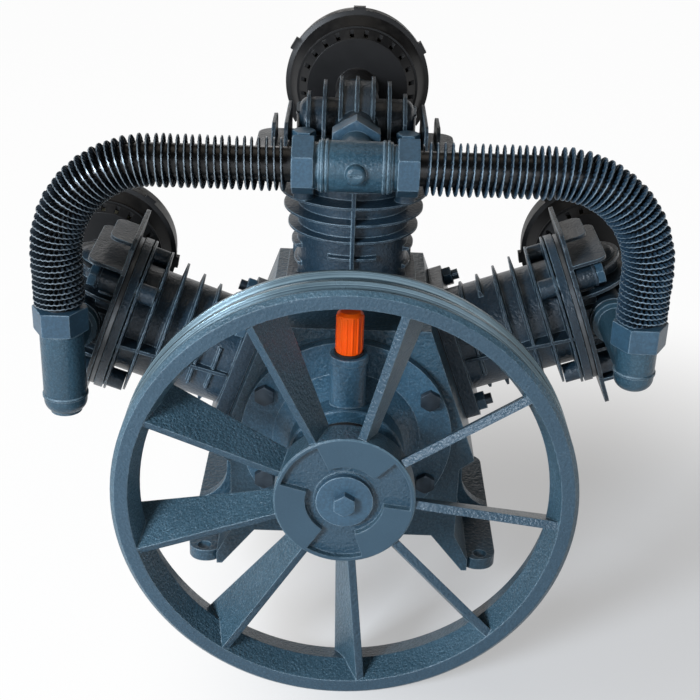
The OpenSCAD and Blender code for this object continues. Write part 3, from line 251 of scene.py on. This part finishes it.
def makeFloor(look):
    half, z = look["half width"], look["height"]
    corners = [(-half, -half, z), (half, -half, z), (half, half, z), (-half, half, z)]
    mesh = bpy.data.meshes.new("floor")
    mesh.from_pydata(corners, [], [(0, 1, 2, 3)])
    made = bpy.data.objects.new("floor", mesh)
    sceneNow.collection.objects.link(made)
    finish = Finish("floorPaper")
    # the distance from the middle of the painted shade, measured on the floor
    middle = look["shade middle"]
    x, y = finish.apart(finish.place)[:2]
    away = ((x - middle[0]) * (x - middle[0]) + (y - middle[1]) * (y - middle[1])) ** 0.5
    clear = 1 - (1 - away.between(*look["shade reach"])) * x.between(*look["shade left"])
    # painted shade: the floor's colour turns darker grey in a soft patch beside the pump, where
    # its shadow falls
    paper = finish.mix(clear, tone(*look["shade tone"]), tone(*look["tone"]))
    matt = finish.add("ShaderNodeBsdfDiffuse", None, {"Color": paper})
    seen = {"Color": tone(*look["seen tone"]), "Strength": 1.0}
    glow = finish.add("ShaderNodeEmission", None, seen)
    share = clear * (look["seen share"] - look["shade share"]) + look["shade share"]
    share = showsBackdrop(finish) * share
    mixed = finish.add("ShaderNodeMixShader", None, {0: share, 1: matt, 2: glow})
    mesh.materials.append(finish.closeWith(mixed))
    made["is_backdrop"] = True


makeFloor(floorLook)

# light
skyLook = {
    "tone": (236, 243, 255),
    "strength": 0.36,
    "ceiling tone": (255, 244, 228),
    "ceiling strength": 0.07,
    "ceiling": (0.08, 0.4),  # the ceiling starts and is full where a direction's z is this
}
lampFields = ("place", "aim", "width", "height", "watts", "tone")
lampRows = {
    "window": ((-1.1, -1.6, 0.9), (0.0, -0.1, 0.16), 0.55, 0.55, 52.0, (234, 244, 255)),
    "front": ((0.45, -1.9, 0.6), (0.0, -0.1, 0.15), 1.2, 0.8, 5.0, (240, 246, 255)),
    "overhead": ((-0.1, 0.1, 1.5), (0.0, 0.0, 0.15), 0.9, 0.7, 1.8, (255, 244, 230)),
    "behind": ((-0.5, 1.5, 0.9), (0.0, 0.0, 0.2), 1.2, 0.6, 2.5, (255, 252, 250)),
}


def makeSky(look):
    # bright walls below and a dim ceiling above
    finish = Finish("studio", bpy.data.worlds.new("studio"))
    sceneNow.world = finish.material

    def glow(colour, strength):
        inputs = {"Color": colour, "Strength": strength}
        return finish.add("ShaderNodeBackground", None, inputs)

    up = finish.apart(finish.add("ShaderNodeTexCoord", out="Generated"))[2]
    ceiling = glow(tone(*look["ceiling tone"]), look["ceiling strength"])
    sky = glow(tone(*look["tone"]), look["strength"])
    paper = glow((1, 1, 1, 1), 1.0)
    seen = {0: showsBackdrop(finish), 1: sky, 2: paper}
    walls = finish.add("ShaderNodeMixShader", None, seen)
    high = {0: up.between(*look["ceiling"]), 1: walls, 2: ceiling}
    finish.add(
        "ShaderNodeOutputWorld", None, {"Surface": finish.add("ShaderNodeMixShader", None, high)}
    )


def makeLamp(name, look):
    data = bpy.data.lights.new(name, "AREA")
    data.shape = "RECTANGLE"
    data.size, data.size_y, data.energy = look["width"], look["height"], look["watts"]
    data.color = tone(*look["tone"])[:3]
    made = bpy.data.objects.new(name, data)
    sceneNow.collection.objects.link(made)
    made.location = look["place"]
    toAim = Vector(look["aim"]) - Vector(look["place"])
    made.rotation_euler = toAim.to_track_quat("-Z", "Y").to_euler()


makeSky(skyLook)
for name, look in rowsToLooks(lampFields, lampRows).items():
    makeLamp(name, look)
print("camera, floor and light are set")


# painted castings
paintFields = ("tone", "deep tone", "grain", "depth", "shine", "glint")
paintRows = {
    # painted light: case_paint and cover_paint were made lighter, cover_paint most, standing in
    # for light that the wheel's shadow keeps off the crankcase's front
    "case_paint": ((54, 86, 104), (38, 64, 79), 0.0027, 0.0007, 0.35, 0.12),
    "cover_paint": ((62, 98, 120), (48, 80, 99), 0.0026, 0.0006, 0.35, 0.14),
    "cylinder_paint": ((38, 61, 77), (26, 44, 57), 0.0022, 0.0004, 0.35, 0.08),
    "head_paint": ((31, 48, 60), (21, 35, 45), 0.002, 0.00035, 0.35, 0.06),
    "fitting_paint": ((50, 82, 98), (38, 66, 81), 0.0022, 0.0004, 0.35, 0.12),
    "nut_paint": ((56, 87, 107), (45, 72, 90), 0.0030, 0.00008, 0.40, 0.03),
}
paintLooks = rowsToLooks(paintFields, paintRows)
paintWear = {
    "edge radius": 0.0013,
    "patch": 0.055,  # width of the slow changes of shade
    "cell share": 0.8,  # of the grain's height, the rest is noise
    "noise share": 0.6,
    "pit share": 0.35,
    "pit tone": 0.55,  # times the deep tone
    "glint lift": 76,
    # the rub makes edges paler: partly worn paint, partly painted highlight on the edges
    "rub patch": 0.007,
    "rub share": 0.85,
    "rub tone": (150, 173, 186),
    "sheen patch": 0.012,
    "sheen": 0.16,  # how much the roughness changes from patch to patch
    "reflects": 0.45,
}


def paintOver(finish, look, smoothShare=None):
    # enamel over cast iron: slow changes of shade, cast grain under the paint, edges worn pale
    # and lit as a painted highlight. the grain's height is cells plus noise, flattened where
    # smoothShare is 1; darker spots are partly deeper paint and partly painted shade in the
    # grain, and paler spots on some bumps are painted glints
    wear = paintWear
    soft, edge = finish.rounded(wear["edge radius"])
    slow = finish.noise(wear["patch"], 3.0).between(0.3, 0.7)
    fine = finish.noise(look["grain"] * 0.5, 2.0, 0.6)
    grain = finish.cells(look["grain"]) * wear["cell share"] + fine * wear["noise share"]
    rough = 1.0
    if smoothShare is not None:
        rough = 1 - smoothShare
        grain = grain * rough
    base = finish.mix(slow, tone(*look["deep tone"]), tone(*look["tone"]))
    # darker spots, partly paint deeper in the pits and partly painted shade in the grain's
    # hollows
    bumps = finish.noise(look["grain"] * 0.7, 2.0, 0.6).between(0.35, 0.7)
    pit = tone(*[part * wear["pit tone"] for part in look["deep tone"]])
    base = finish.mix((1 - bumps) * rough * wear["pit share"], base, pit)
    # painted glints: paler spots of base colour stand in for highlights on the grain
    glints = finish.noise(look["grain"] * 0.45, 1.0).between(0.5, 0.74) * rough * look["glint"]
    glint = tone(*[min(255, part + wear["glint lift"]) for part in look["tone"]])
    base = finish.mix(glints, base, glint)
    # paler edges: partly paint worn thin, partly painted highlight where light catches the edges
    rub = finish.noise(wear["rub patch"]).between(0.25, 0.5) * wear["rub share"]
    base = finish.mix(edge * rub, base, tone(*wear["rub tone"]))
    sheen = finish.noise(wear["sheen patch"], 2.0) * wear["sheen"]
    gloss = sheen + (look["shine"] - wear["sheen"] / 2)
    return base, gloss, finish.bump(grain, look["depth"], soft)


def paintFinish(name):
    finish = Finish(name)
    base, rough, normal = paintOver(finish, paintLooks[name])
    return finish.close(
        {
            "Base Color": base,
            "Roughness": rough,
            "Normal": normal,
            "Specular IOR Level": paintWear["reflects"],
        }
    )


# flywheel
wheelLook = {
    # painted highlight: tone and deep tone are made greyer and lighter, standing in for the sheen
    # of light on the blades' grain
    "tone": (66, 94, 109),
    "deep tone": (51, 78, 92),
    "front shade tone": (31, 58, 75),  # painted shade, on faces that look forward
    "groove tone": (48, 68, 79),
    # pale streaks of the grooves: partly belt wear, partly painted highlight
    "worn tone": (136, 158, 166),
    "grain": 0.0019,
    "depth": 0.0007,
    "shine": 0.33,
    "smooth shine": 0.38,
    "turned shine": 0.24,
    "glint": 0.3,
    "ring": 0.0009,  # width and height of the turning marks
    "ring height": 0.00006,
    "bare metal": 0.5,
    "reflects": 0.5,
    # where each part of the wheel starts and is full: distances from the crank line, and y
    "rim": (0.1378, 0.1388),
    "rim front": (-0.1795, -0.171),
    "pads": (0.0455, 0.0465),
    "pads front": (-0.1722, -0.1715),
    "turned": (0.1392, 0.1400),
    "looks forward": (-0.9, -0.7),  # a face's direction along y
    # how smooth each of them is, from the full cast grain at 0
    "smooth": {"rim": 0.25, "pads": 0.85, "turned": 0.97},
    "front shade share": 0.7,
    "groove share": 0.8,
}


def wheelFinish(look):
    # distance from the crank line is the square root of x squared plus height above it squared
    finish = Finish("wheel_paint")
    x, y, z = finish.apart(finish.place)
    up = z - crankHeight
    out = (x * x + up * up) ** 0.5
    rim = out.between(*look["rim"]) * (1 - y.between(*look["rim front"]))
    pads = (1 - out.between(*look["pads"])) * (1 - y.between(*look["pads front"]))
    turned = out.between(*look["turned"]) * (1 - rim)
    smooth = look["smooth"]
    smoothShare = rim * smooth["rim"] + pads * smooth["pads"] + turned * smooth["turned"]
    base, gloss, normal = paintOver(finish, look, smoothShare)
    # the outside is turned: fine rings in the grooves, their pale streaks partly rubbed by belts
    # and partly a painted highlight
    across = finish.add("ShaderNodeCombineXYZ", None, {0: out, 1: y})
    rings = finish.noise(look["ring"], 2.0, 0.6, across)
    groove, worn = tone(*look["groove tone"]), tone(*look["worn tone"])
    grooves = finish.mix(rings.between(0.3, 0.7), groove, worn)
    base = finish.mix(turned * look["groove share"], base, grooves)
    # painted shade: faces that look forward are a little darker than the blades
    ahead = finish.facing("True Normal")[1].between(*look["looks forward"])
    ahead = (1 - ahead) * (1 - turned)
    base = finish.mix(ahead * look["front shade share"], base, tone(*look["front shade tone"]))
    gloss = gloss + (rim + pads) * (look["smooth shine"] - look["shine"])
    gloss = gloss + turned * (look["turned shine"] - look["shine"])
    return finish.close(
        {
            "Base Color": base,
            "Metallic": turned * look["bare metal"],
            "Roughness": gloss,
            "Normal": finish.bump(rings * turned, look["ring height"], normal),
            "Specular IOR Level": look["reflects"],
        }
    )


# bare and blackened metal
metalFields = ("tone", "pale tone", "metal", "shine", "scratch")
metalRows = {
    "bolt_steel": ((34, 42, 50), (78, 92, 104), 0.5, 0.34, 0.00003),
    "bright_steel": ((150, 152, 154), (188, 190, 192), 1.0, 0.22, 0.00001),
    "plate_steel": ((70, 74, 78), (120, 124, 128), 0.8, 0.36, 0.00002),
    "dark_iron": ((58, 58, 60), (84, 84, 86), 0.85, 0.45, 0.00004),
    "piston_aluminium": ((156, 158, 160), (186, 188, 190), 0.95, 0.34, 0.00003),
}
metalLooks = rowsToLooks(metalFields, metalRows)
metalWear = {
    "edge radius": 0.0004,
    "edge share": 0.6,
    "streak": 0.004,
    "stretch": 14.0,  # streaks are this many times finer along z
    "streak share": 0.3,
    "stain": 0.018,
    "stain share": 0.5,
    "sheen": 0.2,
}


def metalFinish(name):
    look, wear = metalLooks[name], metalWear
    finish = Finish(name)
    soft, edge = finish.rounded(wear["edge radius"])
    scale = {"Vector": finish.place, "Scale": (1.0, 1.0, wear["stretch"])}
    stretched = finish.add("ShaderNodeMapping", None, scale)
    streaks = finish.noise(wear["streak"], 3.0, 0.6, stretched)
    stain = finish.noise(wear["stain"], 2.0).between(0.35, 0.7)
    pale = tone(*look["pale tone"])
    share = stain * wear["stain share"] + streaks * wear["streak share"]
    base = finish.mix(share, tone(*look["tone"]), pale)
    base = finish.mix(edge * wear["edge share"], base, pale)
    return finish.close(
        {
            "Base Color": base,
            "Metallic": look["metal"],
            "Roughness": streaks * wear["sheen"] + (look["shine"] - wear["sheen"] / 2),
            "Normal": finish.bump(streaks, look["scratch"], soft),
        }
    )


# gaskets, rubber and filter paper: matt stuff of fibres or fine grain
mattFields = ("tone", "pale tone", "fibre", "detail", "spread", "relief", "rough", "rough change")
mattRows = {
    "gasket": ((14, 15, 16), (40, 42, 44), 0.0008, 3.0, 0.7, 0.00005, 0.65, 0.2),
    "filter_paper": ((196, 184, 150), (222, 212, 184), 0.0015, 4.0, 0.7, 0.0002, 0.9, 0.0),
}
mattLooks = rowsToLooks(mattFields, mattRows)


def mattFinish(name):
    look = mattLooks[name]
    finish = Finish(name)
    fibres = finish.noise(look["fibre"], look["detail"], look["spread"])
    return finish.close(
        {
            "Base Color": finish.mix(fibres, tone(*look["tone"]), tone(*look["pale tone"])),
            "Roughness": fibres * look["rough change"] + look["rough"],
            "Normal": finish.bump(fibres, look["relief"]),
        }
    )


rubberLook = {
    "tone": (17, 17, 18),
    "bloom tone": (44, 44, 46),
    "bloom": 0.006,
    "bloom share": 0.6,
    "grain": 0.0005,
    "grain height": 0.00002,
    "rough": 0.62,
    "bloom rough": 0.15,
}


def rubberFinish(look):
    finish = Finish("black_rubber")
    bloom = finish.noise(look["bloom"], 3.0).between(0.4, 0.8)
    bloomTone = tone(*look["bloom tone"])
    base = finish.mix(bloom * look["bloom share"], tone(*look["tone"]), bloomTone)
    grain = finish.noise(look["grain"], 2.0)
    return finish.close(
        {
            "Base Color": base,
            "Roughness": bloom * look["bloom rough"] + look["rough"],
            "Normal": finish.bump(grain, look["grain height"]),
        }
    )


# filters
plasticLook = {
    "tone": (17, 17, 18),
    "worn tone": (52, 48, 44),
    "worn share": 0.5,
    "dust tone": (76, 72, 66),
    "dust share": 0.16,
    "dust": 0.008,
    "faces up": (0.2, 1.0),  # dust starts and is full where a face looks up this much
    "edge radius": 0.0006,
    "grain": 0.0009,
    "grain height": 0.00003,
    "shine": 0.42,
    "sheen patch": 0.01,
    "sheen": 0.12,
    "dust rough": 0.25,
    "reflects": 0.3,
}


def plasticFinish(look):
    # moulded black plastic: fine spark grain, dust on faces that look up, edges rubbed
    finish = Finish("filter_plastic")
    soft, edge = finish.rounded(look["edge radius"])
    grain = finish.noise(look["grain"], 2.0, 0.6)
    settles = finish.facing()[2].between(*look["faces up"])
    dust = settles * finish.noise(look["dust"], 4.0, 0.6).between(0.42, 0.75)
    dustTone = tone(*look["dust tone"])
    base = finish.mix(dust * look["dust share"], tone(*look["tone"]), dustTone)
    base = finish.mix(edge * look["worn share"], base, tone(*look["worn tone"]))
    sheen = finish.noise(look["sheen patch"], 2.0) * look["sheen"]
    rough = sheen + dust * look["dust rough"] + (look["shine"] - look["sheen"] / 2)
    return finish.close(
        {
            "Base Color": base,
            "Roughness": rough,
            "Normal": finish.bump(grain, look["grain height"], soft),
            "Specular IOR Level": look["reflects"],
        }
    )


# filler plug
plugLook = {
    "tone": (255, 98, 14),
    "deep tone": (255, 84, 6),
    "rub tone": (255, 140, 70),
    "rub share": 0.35,
    "edge radius": 0.0004,
    "flow": 0.01,
    "grain": 0.0005,
    "grain height": 0.000015,
    "shine": 0.38,
    "sheen patch": 0.003,
    "sheen": 0.14,
    "reflects": 0.15,
}


def plugFinish(look):
    # injection-moulded orange: slight flow marks, fine matt grain, rubbed rib edges
    finish = Finish("plug_plastic")
    soft, edge = finish.rounded(look["edge radius"])
    flow = finish.noise(look["flow"], 2.0).between(0.3, 0.7)
    base = finish.mix(flow, tone(*look["deep tone"]), tone(*look["tone"]))
    base = finish.mix(edge * look["rub share"], base, tone(*look["rub tone"]))
    grain = finish.noise(look["grain"], 2.0)
    sheen = finish.noise(look["sheen patch"], 2.0) * look["sheen"]
    return finish.close(
        {
            "Base Color": base,
            "Roughness": sheen + (look["shine"] - look["sheen"] / 2),
            "Normal": finish.bump(grain, look["grain height"], soft),
            "Specular IOR Level": look["reflects"],
        }
    )


# oil sight glass
glassLook = {
    "tone": (196, 204, 206),
    "oil tone": (196, 132, 44),
    "oil level": (0.0685, 0.0695),
    "scuff": 0.002,
    "shine": 0.08,
    "scuff rough": 0.2,
    "coat": 0.6,
}


def glassFinish(look):
    # clear plastic with honey-coloured oil standing behind its lower half
    finish = Finish("sight_glass")
    height = finish.apart(finish.place)[2]
    oil = 1 - height.between(*look["oil level"])
    scuffs = finish.noise(look["scuff"], 3.0).between(0.55, 0.75)
    return finish.close(
        {
            "Base Color": finish.mix(oil, tone(*look["tone"]), tone(*look["oil tone"])),
            "Roughness": scuffs * look["scuff rough"] + look["shine"],
            "Coat Weight": look["coat"],
        }
    )


# enamel on the delivery pipes
tubeFields = ("tone", "deep tone", "edge tone")
tubeRows = {
    "left_tube_finish": ((30, 38, 45), (9, 11, 13), (122, 134, 142)),
    "right_tube_finish": ((34, 54, 70), (10, 15, 20), (126, 146, 160)),
}
tubeLooks = rowsToLooks(tubeFields, tubeRows)
tubeWear = {
    "blotch": 0.01,
    "blotch share": 0.7,
    "blotch lift": 14,
    "deep": (0.1, 0.7),  # painted shade between the fins: the deep tone fades over these shares of the fin's height
    "edge": (0.93, 0.99),  # and the rubbed edge shows over these
    "rub patch": 0.004,
    "rub share": 0.85,
    "rub metal": 0.5,
    "grain": 0.0008,
    "grain height": 0.00003,
    "shine": 0.29,
    "blotch rough": 0.12,
}


def tubeFinish(name):
    # dark enamel on copper fins, near-black at their roots as painted shade between them;
    # the attribute rise is 0 on the pipe and 1 on a fin's edge
    look, wear = tubeLooks[name], tubeWear
    finish = Finish(name)
    rise = finish.add("ShaderNodeAttribute", {"attribute_name": "rise"}, None, "Fac")
    blotch = finish.noise(wear["blotch"], 3.0).between(0.3, 0.7)
    lifted = tone(*[part + wear["blotch lift"] for part in look["tone"]])
    base = finish.mix(blotch * wear["blotch share"], tone(*look["tone"]), lifted)
    # painted shade: near the pipe, between the fins, the colour turns near-black
    base = finish.mix(1 - rise.between(*wear["deep"]), base, tone(*look["deep tone"]))
    patches = finish.noise(wear["rub patch"], 2.0).between(0.25, 0.55)
    rubbed = rise.between(*wear["edge"]) * patches
    base = finish.mix(rubbed * wear["rub share"], base, tone(*look["edge tone"]))
    grain = finish.noise(wear["grain"], 2.0)
    return finish.close(
        {
            "Base Color": base,
            "Metallic": rubbed * wear["rub metal"],
            "Roughness": blotch * wear["blotch rough"] + wear["shine"],
            "Normal": finish.bump(grain, wear["grain height"]),
        }
    )


finishes = {name: paintFinish(name) for name in paintLooks}
finishes.update({name: metalFinish(name) for name in metalLooks})
finishes.update({name: tubeFinish(name) for name in tubeLooks})
finishes.update({name: mattFinish(name) for name in mattLooks})
finishes["wheel_paint"] = wheelFinish(wheelLook)
finishes["black_rubber"] = rubberFinish(rubberLook)
finishes["filter_plastic"] = plasticFinish(plasticLook)
finishes["plug_plastic"] = plugFinish(plugLook)
finishes["sight_glass"] = glassFinish(glassLook)


def smoothOver(made, reach, angle):
    # shade faces as one surface, merge doubled points, and keep edges over that angle sharp
    made.data.polygons.foreach_set("use_smooth", np.ones(len(made.data.polygons), bool))
    weld = made.modifiers.new("weld", "WELD")
    weld.merge_threshold = reach
    split = made.modifiers.new("creases", "EDGE_SPLIT")
    split.split_angle = math.radians(angle)


def dressNodes():
    # every CAD node takes the finish of its slot, and rounds its facets without moving a point
    slots = {row["node"]: row["material_slot"] for row in frame["record"]["subparts"]}
    for name, made in nodes.items():
        made.data.materials.clear()
        made.data.materials.append(finishes[slots[name]])
        smoothOver(made, weldReach, creaseAngle)


dressNodes()
print("finishes are on", len(nodes), "CAD pieces")


# delivery pipes
pipeLook = {
    "core radius": 0.011,
    "bore radius": 0.008,
    "fin radius": 0.017,
    "flange radius": 0.0125,
    "flange height": 0.0045,
    "bend radius": 0.065,
    "run end": 0.190758,  # x of the upright part
    "nut inside": 0.0305,  # x where the pipe starts in the tee's nut
    "nut face": 0.0396,  # x where the nut ends and fins may start
    "fins after nut": 0.0022,
    "fins before nut": 0.0012,
    "plain after fins": 0.001,
    "fin fade": 0.12,  # of a turn, at both ends of the fins
    "fin wall": 0.0007,
    "pitches": (0.0046, 0.0043, 0.0036),  # level run, bend, upright run
    "pitch blend": (0.02, 0.03),  # how far from the bend's ends the pitch changes
    "waves": 28.5,  # crimps in one turn
    "crimp": 0.00135,
    "level crimp": 0.35,  # share of the crimp on the level run
    "wander": 0.0004,  # how far fins of the level run lean from their place
    "uneven": 0.015,  # share of the radius that fins lose here and there
    # over one fin: share of half its wall, of the crimp and of the fin's height
    "fin rows": (
        (-0.9, 0.6, 0.0),
        (-0.6, 1.0, 0.74),
        (-0.5, 0.15, 1.0),
        (0.5, 0.15, 1.0),
        (0.6, 1.0, 0.74),
        (0.9, 0.6, 0.0),
    ),
    "columns": 132,
    "samples": 800,
    "bore rows": 60,
    "seam reach": 0.000002,
    "crease angle": 40,
}
pipes = (
    # name, CAD node, side, z of the pipe's lower end, z of the top of its lower nut
    ("leftPipe", "left_tube", -1, 0.208, 0.2155),
    ("rightPipe", "right_tube", 1, 0.2105, 0.218),
)


def pipeLine(look, lowEnd):
    # centre line: level outwards, a quarter circle down, then straight down, as a function of
    # the distance s from its start
    start, bend, far = look["nut inside"], look["bend radius"], look["run end"]
    level = far - bend - start
    turn = bend * math.pi / 2
    fall = teeHeight - bend - lowEnd

    def along(s):
        angle = np.clip((s - level) / bend, 0, math.pi / 2)
        x = start + np.clip(s, 0, level) + bend * np.sin(angle)
        z = teeHeight - bend * (1 - np.cos(angle)) - np.clip(s - level - turn, 0, fall)
        return x, z, angle

    return along, level, turn, level + turn + fall


def woundFins(look, level, turn, first, last, theta):
    # a thin strip wound on the pipe as a helix. Row m of turn k lies at
    #   s = place(turn number k + angle / one turn) + m's share of the wall + wave + wander,
    # where the wave is greatest at three quarters of the fin's height and small at its edge,
    # and its radius goes from the pipe's at the root to the fin's at the edge
    s = np.linspace(first, last, look["samples"])
    before, after = look["pitch blend"]
    marks = [level - before, level + before, level + turn - before, level + turn + after]
    levelPitch, bendPitch, uprightPitch = look["pitches"]
    pitch = np.interp(s, marks, [levelPitch, bendPitch, bendPitch, uprightPitch])
    turns = np.concatenate([[0], np.cumsum(np.diff(s) / pitch[:-1])])
    k = np.arange(-1, int(turns[-1]) + 2)[:, None, None]
    number = k + theta[None, None, :] / (2 * math.pi)
    middle = np.interp(number, turns, s)
    wall, waved, high = (part[None, :, None] for part in np.array(look["fin rows"]).T)
    upright = np.interp(middle, [level, level + turn], [look["level crimp"], 1.0])
    crimp = look["crimp"] * upright * np.sin(2 * math.pi * look["waves"] * number)
    wander = look["wander"] * np.sin(1.7 * number + 0.6 * np.sin(0.37 * number)) * (1 - upright)
    place = middle + wall * look["fin wall"] + waved * crimp + wander * high
    place = np.clip(place, first, last)
    inside = np.clip(number / look["fin fade"], 0, 1)
    inside = inside * np.clip((turns[-1] - number) / look["fin fade"], 0, 1)
    loss = look["uneven"]
    uneven = 1 - loss + loss * np.sin(2.3 * number + 1.1 * np.sin(0.9 * number))
    rise = high * inside
    radius = look["core radius"] + rise * (look["fin radius"] * uneven - look["core radius"])
    rows = place.shape[0] * place.shape[1]
    return [part.reshape(rows, -1) for part in np.broadcast_arrays(place, radius, rise)]


def plainRows(group, look, theta):
    # rings without fins, from pairs of a distance and the name of a radius
    place = np.array([row[0] for row in group])[:, None] + 0 * theta
    radius = np.array([look[row[1]] for row in group])[:, None] + 0 * theta
    return [place, radius, 0 * place]


def crimpedPipe(name, side, lowEnd, lowNut, look):
    # fins, then plain ends in the nuts, the flange under the lower nut, and the bore back
    along, level, turn, length = pipeLine(look, lowEnd)
    first = look["nut face"] - look["nut inside"] + look["fins after nut"]
    last = length - (lowNut - lowEnd) - look["fins before nut"]
    theta = np.linspace(0, 2 * math.pi, look["columns"] + 1)
    fins = woundFins(look, level, turn, first, last, theta)
    flange = length - look["flange height"]
    start = [(0.0, "core radius")]
    ends = [
        (last + look["plain after fins"], "core radius"),
        (flange, "core radius"),
        (flange, "flange radius"),
        (length, "flange radius"),
    ]
    bore = [(part, "bore radius") for part in np.linspace(length, 0, look["bore rows"])]
    stack = [plainRows(start, look, theta), fins, plainRows(ends + bore + start, look, theta)]
    place, radius, rise = (np.concatenate(parts) for parts in zip(*stack))

    x, z, angle = along(place)
    swing = np.cos(theta)[None, :] * radius  # across the bend, outwards
    x = x + swing * np.sin(angle)
    z = z + swing * np.cos(angle)
    y = pipeBack + np.sin(theta)[None, :] * radius
    points = np.stack([side * x, y, z], -1).reshape(-1, 3)
    tall, wide = x.shape
    corner = np.arange(tall - 1)[:, None] * wide + np.arange(wide - 1)[None, :]
    faces = np.stack([corner, corner + 1, corner + wide + 1, corner + wide], -1).reshape(-1, 4)
    if side < 0:
        faces = faces[:, ::-1]
    made = newPiece(name, points, faces, {"rise": rise.reshape(-1)})
    smoothOver(made, look["seam reach"], look["crease angle"])
    return made


def newPiece(name, points, faces, values):
    # a mesh from arrays; values are kept per point
    mesh = bpy.data.meshes.new(name)
    mesh.vertices.add(len(points))
    mesh.vertices.foreach_set("co", np.asarray(points, np.float32).reshape(-1))
    mesh.loops.add(faces.size)
    mesh.loops.foreach_set("vertex_index", faces.reshape(-1).astype(np.int32))
    mesh.polygons.add(len(faces))
    starts = np.arange(0, faces.size, faces.shape[1], dtype=np.int32)
    mesh.polygons.foreach_set("loop_start", starts)
    for key, numbers in values.items():
        kept = mesh.attributes.new(key, "FLOAT", "POINT")
        kept.data.foreach_set("value", np.asarray(numbers, np.float32))
    mesh.update(calc_edges=True)
    mesh.validate()
    made = bpy.data.objects.new(name, mesh)
    sceneNow.collection.objects.link(made)
    return made


for name, node, side, lowEnd, lowNut in pipes:
    made = crimpedPipe(name, side, lowEnd, lowNut, pipeLook)
    made.data.materials.append(finishes[f"{node}_finish"])
    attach(made, "pump")
    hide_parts(node)
print("delivery pipes are wound")

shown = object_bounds()
boxes = {"cad": cadBox, "shown": shown}
boxes = {key: [list(map(float, part)) for part in box] for key, box in boxes.items()}
